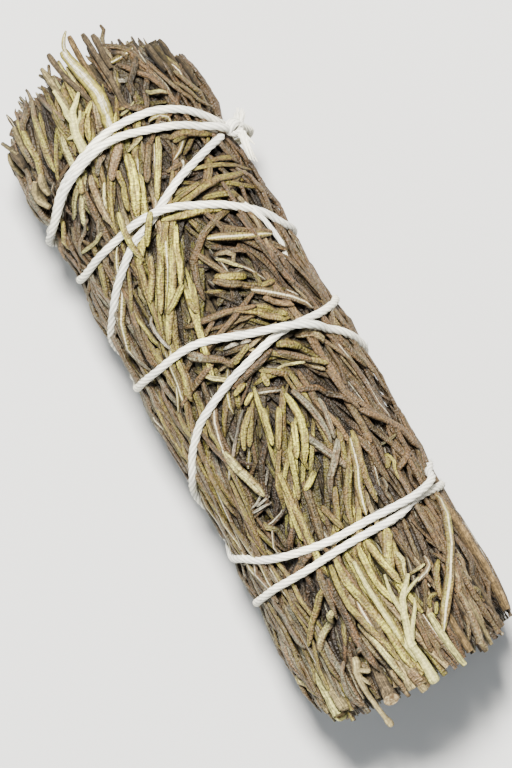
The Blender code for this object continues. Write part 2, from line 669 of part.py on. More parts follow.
def main():
    clear_scene()
    bundle = new_collection("rosemary bundle")
    olive = new_material("green_needles", (0.34, 0.30, 0.13), 0.85)
    brown = new_material("brown_needles", (0.20, 0.14, 0.09), 0.85)
    inner = new_material("inner_needles", (0.16, 0.12, 0.08), 0.9)
    wood = new_material("bare_wood", (0.55, 0.45, 0.28), 0.8)
    cotton = new_material("string", (0.85, 0.83, 0.78), 0.95)
    route = string_route()
    build_string(route, bundle, cotton)
    for name, arms in BARE_TWIGS.items():
        build_twig(name, arms, bundle, wood)
    pressers = Pressers(route)
    for number in range(OUTER_SPRIGS):
        lane = (270 + number * 360 // OUTER_SPRIGS) % 360
        build_outer_sprig(number, lane, bundle, brown if lane in BROWN_LANES else olive, pressers)
    for number in range(INNER_SPRIGS):
        build_inner_sprig(number, number * 360 / INNER_SPRIGS + INNER_TURN, bundle, inner)
    build_heart_sprig(bundle, inner)


main()
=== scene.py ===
# %% [markdown]
# # A dried rosemary bundle
# The real thing is a fistful of dried rosemary sprigs, pressed into a roll and bound with one
# length of cotton string. Seen close to, it is some thousands of narrow needles, heaped in every
# direction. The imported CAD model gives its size, its resting place and the route of its string.
# This lesson lays the needles over it one at a time, as a heap really forms, and then turns
# plain guide lines into leaves, stems and string with Geometry Nodes.

# %% Load the frame
import math

import bpy
import numpy as np
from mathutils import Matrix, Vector


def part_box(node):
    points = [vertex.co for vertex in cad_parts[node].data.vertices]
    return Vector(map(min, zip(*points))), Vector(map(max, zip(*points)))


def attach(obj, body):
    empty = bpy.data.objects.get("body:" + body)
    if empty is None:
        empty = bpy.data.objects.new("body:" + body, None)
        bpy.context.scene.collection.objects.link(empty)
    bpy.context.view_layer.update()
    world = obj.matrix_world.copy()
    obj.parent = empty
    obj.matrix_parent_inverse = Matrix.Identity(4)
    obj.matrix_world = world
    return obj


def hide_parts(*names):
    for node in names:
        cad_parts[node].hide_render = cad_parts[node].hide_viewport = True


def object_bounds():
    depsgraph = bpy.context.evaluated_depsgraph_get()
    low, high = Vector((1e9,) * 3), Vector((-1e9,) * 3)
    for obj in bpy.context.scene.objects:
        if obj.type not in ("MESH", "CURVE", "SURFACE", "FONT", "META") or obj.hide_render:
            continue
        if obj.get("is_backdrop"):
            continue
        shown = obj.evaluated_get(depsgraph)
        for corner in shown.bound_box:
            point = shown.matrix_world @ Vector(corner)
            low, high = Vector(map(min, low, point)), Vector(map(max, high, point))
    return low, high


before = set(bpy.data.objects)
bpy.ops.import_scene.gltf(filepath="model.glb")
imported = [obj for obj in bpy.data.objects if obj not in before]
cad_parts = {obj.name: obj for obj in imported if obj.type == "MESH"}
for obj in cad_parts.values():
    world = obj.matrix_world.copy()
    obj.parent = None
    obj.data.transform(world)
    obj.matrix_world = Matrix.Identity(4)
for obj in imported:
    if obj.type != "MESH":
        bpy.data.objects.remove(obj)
cad_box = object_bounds()
MM = 0.001  # every length below is in millimetres, and the scene is in metres
AXIS_Z = 15.3  # height of the roll's axis over the table
low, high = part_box("string")
print("the string is", round((high.z - low.z) / MM, 1), "mm high, round an axis", AXIS_Z, "mm up")

# %% [markdown]
# Places on a roll are easiest to give as (x, angle, radius) about its own axis: 0 degrees is the
# knot's side, 90 the top, 270 the table. They describe an even roll. Only the last step, to_scene,
# makes it stouter towards the cut end, bows it a little, and turns it into metres in space.

# %% Places round the roll
SKIN = 15.45  # radius of the needles' skin
FLOOR = 12.0  # radius that the pressed heap stands on
SEEN_OFFSET = 0.55  # how far the view from above is shifted towards the knot's side
ROLL_SHAPE = [  # rows of (x, how stout, y of the axis)
    (-56.0, 1.0, -1.1), (-45.0, 1.01, -1.05), (-38.0, 1.015, -1.0), (-20.0, 1.022, -0.4),
    (-5.0, 1.045, -0.45), (10.0, 1.06, -0.52), (20.0, 1.05, -0.55), (40.0, 1.085, -0.85),
    (52.0, 1.05, -0.65),
]


def from_axis(x, angle, radius):
    """Rows of (x, y, z) in millimetres from the roll's axis, with the angle in degrees."""
    turn = np.radians(angle)
    return np.stack([x + 0 * turn, radius * np.cos(turn), radius * np.sin(turn)], axis=-1)


def roll_shape(x):
    """How stout the roll is at x, and where its axis lies across."""
    at, stout, bow = np.array(ROLL_SHAPE).T
    return np.interp(x, at, stout), np.interp(x, at, bow)


def to_scene(points):
    """Places measured from the axis of the even roll, in metres on the table."""
    x, y, z = np.moveaxis(np.asarray(points, float), -1, 0)
    stout, bow = roll_shape(x)
    return np.stack([x, y * stout + bow, (z + AXIS_Z) * stout], axis=-1) * MM


def smooth_step(start, end, value):
    share = np.clip((value - start) / (end - start), 0.0, 1.0)
    return share * share * (3 - 2 * share)


def angle_between(a, b):
    return (a - b + 180.0) % 360.0 - 180.0


def seen_angle(x, y, radius=SKIN):
    """The angle at which a place at x on the skin is y millimetres across, seen from above."""
    stout, bow = roll_shape(x)
    across = (np.asarray(y, float) - SEEN_OFFSET - bow) / (radius * stout)
    return np.degrees(np.arccos(np.clip(across, -0.998, 0.998)))


def seen_across(x, angle):
    """The other way round: how far across a place on the skin is seen."""
    stout, bow = roll_shape(x)
    return SKIN * stout * np.cos(np.radians(angle)) + bow + SEEN_OFFSET


# %% [markdown]
# ## The string's route
# One string goes round eight times, crosses itself twice on top, and is knotted on the side. Its
# route is given as rows of (x, degrees), and read as one smooth curve. Where a strand
# meets one that was laid before it, it climbs over in a long low hump.

# %% Route of the string
STRING_DIAMETER = 1.3
STRING_BED = [  # rows of (x, radius of a strand's centre line)
    (-45.0, 15.2), (-24.0, 15.2), (-12.0, 15.6), (15.0, 15.65), (26.0, 15.45), (35.0, 15.45),
]
STRAND_SPACING = 1.52  # between the centre lines of strands that cross
STRING_STEP = 0.5
TABLE_GAP = 0.15
STRING_RUNS = [  # one run of (x, degrees) for each turn
    [(-33.0, 26), (-32.3, 44), (-31.5, 57), (-30.7, 68), (-29.6, 78), (-28.5, 86), (-27.6, 92),
     (-26.6, 100), (-25.9, 108), (-24.7, 116), (-22.7, 127), (-20.3, 140), (-18.2, 150), (-16.6, 160),
     (-14.3, 180), (-8.5, 222), (-5.5, 270), (-4.4, 320)],
    [(-3.3, 0), (-2.8, 22), (-2.65, 34), (-2.8, 47), (-3.0, 56), (-3.1, 63), (-2.95, 69), (-2.4, 79),
     (-1.5, 90), (-0.6, 101), (0.5, 111), (1.8, 122), (3.0, 131), (4.6, 139), (6.4, 148), (8.6, 157),
     (11.8, 180), (18.5, 218), (23.4, 270), (26.6, 320)],
    [(28.9, 0), (28.8, 23), (28.6, 38), (28.8, 48), (29.3, 55), (29.5, 65), (29.4, 77), (29.35, 88),
     (29.45, 100), (29.7, 114), (29.8, 127), (29.85, 142), (30.1, 154), (30.5, 180), (29.5, 225),
     (28.4, 270), (26.6, 320)],
    [(25.2, 0), (26.4, 20), (27.3, 29), (27.9, 41), (28.1, 51), (27.95, 62), (27.75, 76), (27.7, 90),
     (27.6, 98), (27.15, 109), (26.6, 120), (25.9, 131), (24.8, 144), (23.8, 154), (22.6, 180),
     (17.0, 218), (11.0, 270), (7.2, 320)],
    [(5.0, 0), (2.6, 18), (0.8, 31), (-0.5, 42), (-1.6, 50), (-2.7, 58), (-3.4, 64), (-4.3, 73),
     (-5.3, 83), (-6.3, 92), (-7.2, 101), (-7.7, 108), (-7.85, 117), (-7.6, 127), (-7.2, 139),
     (-6.9, 153), (-6.6, 180), (-9.5, 216), (-12.5, 270), (-14.4, 320)],
    [(-15.6, 0), (-17.6, 21), (-19.4, 29), (-20.8, 37), (-22.4, 47), (-23.9, 56), (-25.1, 65),
     (-26.2, 74), (-27.2, 83), (-27.8, 92), (-27.85, 101), (-27.5, 112), (-26.9, 124), (-26.2, 138),
     (-25.4, 151), (-25.0, 180), (-27.4, 230), (-29.2, 270), (-29.6, 300), (-30.2, 322)],
    [(-33.8, 0), (-35.2, 18), (-37.0, 30), (-38.8, 41), (-40.2, 52), (-41.1, 61), (-41.6, 71),
     (-41.85, 81), (-41.7, 93), (-41.1, 103), (-40.1, 114), (-38.8, 126), (-37.3, 137), (-35.8, 146),
     (-34.6, 154), (-33.5, 180), (-33.3, 225), (-33.1, 270), (-32.9, 320)],
    [(-32.6, 0), (-33.9, 27), (-35.3, 36), (-36.7, 46), (-37.8, 56), (-38.7, 66), (-39.5, 76),
     (-40.2, 86), (-40.4, 95), (-39.9, 105), (-38.9, 116), (-37.6, 127), (-35.8, 138), (-34.2, 148),
     (-32.0, 180), (-31.6, 225), (-31.4, 270), (-31.4, 320)],
]
KNOT = (-33.3, 20.0, 17.0)  # x, angle and radius
LAST_TURN_IN = -31.9
CROSSING_REACH = 12.0  # strands nearer than this along the string are neighbours, not a crossing
SHOULDER = 2.4


def through(knots, values, wanted):
    """A smooth curve through (knots, values), read at wanted."""
    slopes = np.gradient(values, knots)
    index = np.clip(np.searchsorted(knots, wanted) - 1, 0, len(knots) - 2)
    width = knots[index + 1] - knots[index]
    t = (wanted - knots[index]) / width
    rise = values[index + 1] - values[index]
    a = slopes[index] * width - rise
    b = -slopes[index + 1] * width + rise
    return values[index] + t * rise + t * (1 - t) * (a * (1 - t) + b * t)


def string_bed(x, angle):
    """Radius at which one strand lies: sunk as deep as it was pulled, and flat over the table."""
    flat = AXIS_Z - TABLE_GAP - STRING_DIAMETER / 2
    down = np.maximum(-np.sin(np.radians(angle)), 0.05)
    return np.minimum(np.interp(x, *np.array(STRING_BED).T), flat / down)


def laid_over(x, angle, radius):
    """Raises each strand where it crosses one laid earlier, with easy shoulders."""
    count = len(x)
    apart = int(CROSSING_REACH / STRING_STEP)
    shoulder = int(SHOULDER / STRING_STEP)
    window = np.hanning(2 * shoulder + 3)[1:-1]
    window /= window.sum()
    lifted = radius.copy()
    for start in range(0, count, shoulder):
        block = slice(start, min(start + shoulder, count))
        earlier = max(0, start - apart)
        if not earlier:
            continue
        across = x[block, None] - x[None, :earlier]
        turned = angle_between(angle[block, None], angle[None, :earlier])
        gap2 = across**2 + (np.radians(turned) * radius[block, None]) ** 2
        need = lifted[None, :earlier] + np.sqrt(np.maximum(STRAND_SPACING**2 - gap2, 0))
        need = np.where(gap2 < STRAND_SPACING**2, need, 0).max(axis=1)
        lifted[block] = np.maximum(lifted[block], need)
    rise = lifted - radius
    padded = np.pad(rise, shoulder)
    widest = np.max([padded[i:i + count] for i in range(2 * shoulder + 1)], axis=0)
    eased = np.convolve(np.pad(widest, shoulder, mode="edge"), window, mode="valid")
    return radius + np.maximum(eased, rise)


def string_route():
    """Rows of (x, angle, radius) at even steps along the wound part of the string."""
    rows = [(x, angle + 360.0 * turn) for turn, run in enumerate(STRING_RUNS) for x, angle in run]
    last_turn = 360.0 * len(STRING_RUNS)
    rows.append((LAST_TURN_IN, last_turn))
    rows.append((KNOT[0], last_turn + KNOT[1]))
    knots = np.array([angle for _, angle in rows])
    values = np.array([x for x, _ in rows])
    fine = np.linspace(knots[0], knots[-1], 6000)
    x = through(knots, values, fine)
    walked = np.linalg.norm(np.diff(from_axis(x, fine, string_bed(x, fine)), axis=0), axis=1)
    along = np.concatenate([[0], np.cumsum(walked)])
    even = np.linspace(0, along[-1], int(along[-1] / STRING_STEP))
    x, fine = np.interp(even, along, x), np.interp(even, along, fine)
    return np.stack([x, fine, laid_over(x, fine, string_bed(x, fine))], axis=1)


route = string_route()
print("the wound string is", round(len(route) * STRING_STEP), "mm long")

# %% [markdown]
# ## Colours of dry rosemary
# Needles dry unevenly: some stay yellow-green, most go olive or brown, and the pressed side of the
# roll turns grey. A few show their white underside. All colours are given as on a paint card and
# turned into linear light once.

# %% Paint card
PAINT = {
    "yellow": (222, 212, 92), "pale": (238, 230, 142), "olive": (166, 153, 64),
    "brown": (113, 97, 57), "dark": (77, 65, 39), "grey": (144, 139, 110),
    "orange": (146, 119, 74), "tan": (182, 163, 110), "white": (240, 234, 206),
    "red": (146, 124, 88), "bark": (122, 104, 74),
    # parts of a needle
    "withered": (88, 64, 37), "edge_brown_and_shade": (56, 43, 26), "midrib": (186, 179, 150),
    # wood and cotton
    "pith": (176, 156, 114), "dark_pith": (104, 82, 54), "sawn": (196, 180, 134),
    "thinly_peeled": (232, 220, 158), "well_peeled": (228, 222, 198),
    "cotton": (255, 250, 228), "greyer_cotton": (226, 224, 212),
}


def linear(colour):
    """Linear light for a paint-card colour of three numbers up to 255."""
    share = np.asarray(colour, float) / 255
    return np.where(share <= 0.04045, share / 12.92, ((share + 0.055) / 1.055) ** 2.4)


PAINT_LIGHT = {name: linear(colour) for name, colour in PAINT.items()}

# %% [markdown]
# ## Which way the needles lie
# The skin of the roll is a patchwork: here long needles flow together, there short ones stand
# crosswise over a dark hollow. Each patch has a centre, a reach, a lie (degrees from the roll's
# length, positive turning away from the knot), a scatter, a length and a mix of colours. A needle
# takes the patch that it is deepest in.

# %% Patches of the skin
LENGTHS = {"long": (13.0, 20.0), "mid": (9.0, 14.0), "short": (5.0, 9.0)}
PATCHES = [
    # the left end
    (-48, 33, 8, 22, -8, 10, "long", "brown brown orange olive"),
    (-48, 63, 8, 14, 10, 50, "short", "dark brown brown olive tan"),
    (-48, 89, 7, 9, 0, 12, "mid", "olive brown pale"),
    (-47, 107, 8, 9, 8, 18, "mid", "olive yellow pale grey"),
    (-46, 129, 9, 14, 8, 12, "mid", "yellow olive tan brown"),
    (-46, 162, 9, 20, 2, 10, "mid", "grey tan brown"),
    # between the first pair of strands and the next
    (-37, 22, 8, 16, -5, 12, "mid", "brown dark brown"),
    (-36, 45, 5, 14, 70, 25, "mid", "dark olive olive brown"),
    (-33, 67, 5, 10, 25, 55, "short", "dark brown brown dark"),
    (-34, 90, 7, 14, 25, 10, "long", "yellow olive olive tan"),
    (-34, 114, 7, 12, 20, 16, "mid", "tan olive pale brown"),
    (-32, 140, 8, 14, 20, 40, "short", "brown grey dark pale"),
    (-33, 174, 9, 18, 3, 14, "mid", "grey tan brown"),
    # round the first crossing
    (-27.5, 54, 3, 26, 85, 14, "long", "olive olive brown dark"),
    (-24, 111, 5, 14, 28, 12, "long", "yellow olive olive"),
    (-24, 143, 6, 16, 30, 18, "mid", "brown olive brown grey"),
    (-17, 108, 7, 12, 30, 8, "long", "yellow yellow olive"),
    (-18, 131, 9, 14, 10, 10, "long", "olive olive brown yellow"),
    (-15, 160, 12, 18, 2, 6, "long", "grey olive grey"),
    (-17, 76, 6, 14, -60, 55, "short", "brown dark brown olive"),
    (-15, 56, 7, 12, -20, 50, "mid", "brown dark olive brown"),
    (-14, 35, 9, 16, -10, 12, "long", "brown brown tan dark"),
    (-8, 65, 5, 14, -48, 12, "mid", "olive brown olive brown"),
    (-8, 88, 4, 14, 80, 40, "mid", "brown dark brown tan"),
    (-4, 103, 3, 12, -50, 40, "mid", "olive brown pale"),
    (-5, 39, 7, 14, -15, 12, "long", "brown brown orange"),
    # the middle
    (2, 63, 4, 14, -45, 14, "mid", "olive olive brown tan"),
    (3, 84, 4, 10, -60, 55, "short", "dark dark brown olive"),
    (2, 33, 8, 15, -8, 10, "long", "brown brown tan"),
    (6, 107, 7, 12, 28, 14, "short", "olive olive brown"),
    (12, 95, 9, 14, 25, 14, "mid", "yellow olive olive"),
    (11, 77, 8, 8, 3, 14, "long", "grey olive grey"),
    (12, 61, 10, 10, -35, 25, "mid", "dark brown brown orange"),
    (14, 41, 10, 16, -22, 10, "long", "orange brown orange brown"),
    (14, 120, 10, 10, 8, 30, "mid", "brown dark olive"),
    (14, 141, 14, 14, 3, 8, "long", "olive grey brown"),
    (14, 165, 16, 16, 0, 5, "long", "grey grey olive"),
    (22, 83, 6, 16, 20, 10, "long", "olive yellow olive"),
    (22, 102, 6, 12, 10, 12, "long", "olive yellow brown"),
    (21, 58, 6, 12, 5, 25, "mid", "brown dark olive brown"),
    (23, 38, 6, 16, -10, 12, "long", "orange brown orange"),
    (23, 123, 7, 12, 40, 40, "short", "dark brown olive"),
    # from the last pair of strands to the right end
    (36, 87, 9, 16, -3, 8, "long", "yellow yellow olive"),
    (36, 69, 9, 8, 3, 20, "mid", "olive brown tan"),
    (38, 52, 12, 14, 2, 8, "long", "brown red brown tan"),
    (38, 32, 12, 18, 0, 6, "long", "orange brown brown"),
    (36, 105, 9, 8, 3, 8, "long", "brown dark brown"),
    (37, 120, 9, 10, 20, 30, "mid", "dark brown olive brown"),
    (38, 139, 12, 14, 0, 8, "long", "grey olive tan"),
    (38, 159, 12, 16, 0, 5, "long", "grey grey olive"),
    (48, 88, 6, 14, -8, 8, "long", "yellow pale tan"),
    (48, 116, 5, 12, 0, 25, "mid", "brown dark tan"),
    (48, 55, 6, 24, 0, 6, "long", "tan brown orange"),
    # the side that lies on the table
    (-40, 225, 14, 30, 10, 12, "mid", "grey brown olive"),
    (-42, 300, 14, 30, -8, 16, "mid", "brown olive brown"),
    (-15, 215, 14, 22, 12, 10, "long", "grey olive brown"),
    (-12, 255, 14, 22, -14, 14, "long", "olive brown olive"),
    (-16, 300, 12, 24, 18, 30, "mid", "brown dark olive"),
    (-10, 340, 16, 18, 5, 14, "long", "brown brown dark"),
    (14, 220, 14, 22, -8, 12, "long", "olive grey brown"),
    (12, 262, 12, 20, 22, 18, "mid", "yellow olive brown"),
    (16, 305, 14, 24, -18, 22, "mid", "brown olive tan"),
    (18, 340, 16, 18, -4, 10, "long", "orange brown brown"),
    (42, 225, 12, 28, 5, 8, "long", "grey olive tan"),
    (40, 270, 12, 22, -6, 10, "long", "olive yellow brown"),
    (42, 315, 12, 28, 4, 10, "long", "brown tan brown"),
]
HOLLOWS = [
    (-22.0, 4.0, 2.2), (-12.5, 2.0, 1.6), (-16.5, 1.2, 1.3), (2.0, 1.6, 2.4), (-24.2, 2.0, 1.2),
    (-13.0, -5.2, 1.2), (48.5, -9.8, 1.8), (49.0, 4.3, 1.6), (-47.5, 1.7, 1.1), (-35.5, 5.5, 1.2),
    (50.0, -11.5, 1.4), (46.5, 4.0, 1.3), (-52.5, 2.1, 1.0), (41.5, 9.2, 1.2), (13.0, 9.4, 1.2),
    (33.5, 8.4, 1.0), (45.5, 8.3, 1.5), (21.0, -0.6, 1.0), (-50.5, -7.9, 0.9), (-8.5, -7.0, 1.0),
    (26.0, 9.5, 1.0), (38.5, -8.5, 1.2), (20.0, -8.0, 1.0), (5.0, -0.3, 1.1),
]


def patch_of(x, angle):
    """For each place, the number of the patch that it is deepest in."""
    table = np.array([row[:4] for row in PATCHES], float)
    across = (x[:, None] - table[:, 0]) / table[:, 2]
    turned = angle_between(angle[:, None], table[:, 1]) / table[:, 3]
    return np.argmin(across**2 + turned**2, axis=1)


print(len(PATCHES), "patches and", len(HOLLOWS), "dark hollows")

# %% [markdown]
# ## Needles laid one by one
# Some needles are what one remembers of this bundle: the yellow ones that stream across its
# middle, the long pale one near the cut end, the steep olive ones between two strands. They are
# listed one by one, each as a colour, a width and the places (x, y) it passes, seen from above. A
# star marks a needle that shows its white midrib.

# %% Needles laid one by one, left half
BY_HAND = [
    # the left end, from the knot's side round
    ("olive", 1.3, (-45.0, 11.7), (-41.2, 12.8), (-37.5, 13.5)),
    ("tan", 0.9, (-49.5, 9.9), (-45.8, 10.5), (-42.0, 11.3), (-38.7, 12.1)),
    ("olive", 0.9, (-43.5, 11.3), (-39.3, 12.6), (-37.5, 13.8)),
    ("tan", 1.1, (-45.3, 14.2), (-41.7, 14.5)),
    ("olive*", 1.1, (-51.0, 8.5), (-50.7, 6.7), (-50.7, 4.5)),
    ("white", 0.8, (-47.7, 4.5), (-47.0, 6.0)),
    ("tan", 0.8, (-56.5, 6.4), (-55.5, 6.6), (-54.8, 5.9), (-53.2, 5.2), (-51.0, 5.0)),
    ("white", 0.8, (-55.0, 5.1), (-53.8, 4.9)),
    ("brown", 0.9, (-53.9, 4.6), (-52.4, 6.8), (-50.3, 8.2), (-48.0, 8.8)),
    ("tan", 0.7, (-53.0, 5.2), (-51.6, 6.6), (-49.8, 7.4)),
    ("brown", 1.1, (-50.0, 5.6), (-47.6, 7.6), (-45.0, 8.8), (-42.8, 9.2)),
    ("dark", 1.2, (-49.6, 8.4), (-47.0, 6.2), (-44.6, 5.0)),
    ("pale", 0.8, (-44.5, 6.9), (-43.6, 8.2), (-42.5, 9.3)),
    ("yellow", 0.6, (-43.9, 2.2), (-43.6, 3.6), (-42.8, 4.6)),
    ("pale", 0.5, (-43.0, 2.0), (-43.2, 3.4), (-43.9, 4.8)),
    ("yellow", 1.2, (-47.0, -0.5), (-45.8, -2.1), (-43.8, -3.0), (-42.0, -3.8)),
    ("yellow", 1.1, (-46.2, -2.3), (-44.3, -3.8), (-42.6, -4.5)),
    ("tan", 0.6, (-55.1, -3.5), (-54.0, -4.0), (-52.4, -4.4)),
    ("tan", 0.6, (-54.5, -5.6), (-53.4, -5.0), (-52.0, -4.8)),
    ("olive", 1.1, (-51.0, -3.3), (-47.3, -3.6)),
    ("olive", 1.1, (-49.5, -5.7), (-45.8, -6.0), (-43.5, -5.7)),
    ("grey", 1.0, (-51.8, -7.5), (-49.5, -6.3), (-46.5, -5.3)),
    ("tan", 1.1, (-53.6, -8.5), (-51.8, -8.3), (-49.5, -9.0), (-45.0, -10.2), (-41.3, -10.8)),
    ("yellow", 1.3, (-49.5, -8.8), (-46.5, -9.3), (-43.5, -9.8), (-40.5, -10.0)),
    ("yellow", 1.4, (-50.3, -11.3), (-46.5, -11.7), (-42.8, -12.0), (-40.0, -12.6)),
    ("brown", 1.3, (-51.8, -9.5), (-49.5, -10.8), (-48.0, -11.7)),
    ("tan", 1.0, (-49.8, -13.8), (-45.8, -13.8)),
    ("grey", 1.2, (-50.3, -12.3), (-46.5, -12.6), (-42.8, -13.2)),
    # between the first pair of strands and the next
    ("olive", 1.6, (-33.3, 13.5), (-34.8, 12.0), (-36.0, 9.8), (-35.7, 6.8)),
    ("olive", 1.2, (-34.2, 12.0), (-35.3, 10.2), (-36.4, 8.3), (-36.4, 6.3)),
    ("yellow", 1.2, (-37.5, 5.3), (-36.0, 4.5), (-33.8, 3.3), (-31.5, 1.8), (-29.3, 0.5)),
    ("brown", 1.2, (-37.5, 3.8), (-35.3, 2.3), (-32.3, 0.5)),
    ("yellow", 1.8, (-37.5, 0.0), (-35.3, -0.4), (-32.3, -1.5), (-28.5, -3.3)),
    ("red", 1.6, (-39.6, 0.0), (-38.3, -1.2), (-36.8, -2.7), (-35.2, -3.8)),
    ("pale", 0.8, (-38.7, 3.3), (-38.2, 1.5), (-37.8, 0.3)),
    ("grey", 1.0, (-39.4, -2.7), (-38.3, -4.2), (-36.8, -5.3)),
    ("olive", 1.2, (-36.0, -2.3), (-33.0, -3.0), (-30.0, -3.8)),
    ("pale*", 0.9, (-35.5, -4.8), (-33.3, -6.0), (-30.8, -7.5)),
    ("tan", 1.4, (-37.5, -6.3), (-34.5, -6.8), (-31.5, -6.8), (-29.3, -6.8)),
    ("yellow", 1.3, (-37.5, -7.8), (-35.7, -8.1)),
    ("yellow", 1.0, (-33.8, -13.2), (-31.5, -14.0), (-29.3, -14.4)),
    ("pale", 0.8, (-29.3, -9.0), (-28.5, -10.8), (-28.2, -12.8)),
    ("olive", 1.2, (-26.6, 13.8), (-27.0, 11.3), (-27.8, 9.0), (-27.6, 6.8), (-27.2, 4.5),
     (-27.0, 1.8)),
    ("olive", 1.0, (-28.5, 6.8), (-28.2, 4.5), (-27.8, 2.3)),
    ("olive", 1.0, (-28.2, 14.3), (-30.0, 12.0), (-30.5, 10.2)),
    ("white", 0.6, (-32.7, 6.6), (-31.2, 6.2)),
    # right of the first crossing
    ("yellow", 1.4, (-23.3, 9.0), (-24.3, 6.8), (-25.2, 3.8), (-26.0, 0.8), (-26.4, -0.4)),
    ("olive", 1.1, (-24.0, 11.3), (-25.5, 9.0), (-26.2, 6.8)),
    ("brown", 1.4, (-22.8, 9.8), (-22.5, 6.0), (-21.5, 3.8), (-19.5, 1.2), (-16.5, -0.3),
     (-12.8, -0.8)),
    ("olive*", 1.4, (-20.7, 4.2), (-19.2, 6.8), (-18.0, 9.0), (-16.5, 12.0)),
    ("tan", 0.9, (-18.0, 3.8), (-17.4, 5.7), (-16.2, 6.3), (-15.3, 5.3)),
    ("pale", 0.7, (-17.3, 3.8), (-15.8, 5.3), (-14.3, 6.8)),
    ("olive", 1.5, (-15.0, 2.3), (-13.8, 4.5), (-12.8, 6.8)),
    ("brown", 1.3, (-14.7, 1.8), (-13.2, 3.3), (-12.0, 5.3)),
    ("brown*", 1.4, (-10.8, 6.0), (-9.0, 8.3), (-6.8, 10.5), (-3.8, 12.3)),
    ("olive", 1.3, (-8.3, 5.3), (-6.8, 7.2), (-4.8, 9.0)),
    ("olive", 1.2, (-7.2, 5.0), (-5.7, 6.6), (-4.2, 8.2)),
    ("orange", 1.1, (-8.8, 7.0), (-7.2, 8.6), (-5.6, 10.0)),
    ("olive", 1.0, (-10.5, 7.5), (-10.2, 9.8)),
    ("brown", 1.1, (-10.8, -5.7), (-10.2, -2.3), (-9.8, 0.8), (-8.7, 3.8), (-8.3, 5.3)),
    ("yellow", 1.5, (-22.5, -0.8), (-19.5, -2.3), (-16.5, -4.2), (-13.5, -6.3), (-9.8, -8.3)),
    ("yellow", 1.3, (-24.8, -1.8), (-21.8, -3.0), (-18.0, -5.3), (-14.3, -7.2)),
    ("yellow", 1.2, (-24.8, 1.2), (-22.5, -0.2), (-18.8, -1.4), (-16.5, -2.6)),
    ("olive", 1.4, (-22.5, -4.5), (-19.5, -5.9), (-16.5, -7.7)),
    ("white", 0.9, (-14.7, -9.0), (-12.0, -9.0), (-9.0, -8.6)),
    ("pale", 0.7, (-19.5, -8.6), (-16.5, -9.0)),
    ("yellow", 1.1, (-16.5, -2.3), (-15.0, -4.5), (-13.8, -6.3)),
    ("olive", 1.4, (-14.3, -2.7), (-11.6, -2.4)),
    ("pale", 1.0, (-14.3, -4.3), (-11.0, -4.3)),
    ("yellow", 1.2, (-7.2, -8.9), (-3.8, -9.0), (-0.5, -9.8)),
    ("olive*", 1.1, (-9.3, -9.7), (-6.0, -10.0), (-0.8, -10.8)),
    ("grey", 1.7, (-7.2, -7.7), (-5.3, -4.7)),
    ("brown", 1.3, (-6.0, -6.0), (-3.8, -3.0), (-1.8, -1.8)),
    ("olive", 1.1, (-3.8, 1.5), (-3.0, -0.3), (-2.3, -1.7)),
    ("white", 0.7, (-4.2, 2.2), (-5.0, -0.8), (-5.0, -2.3)),
]
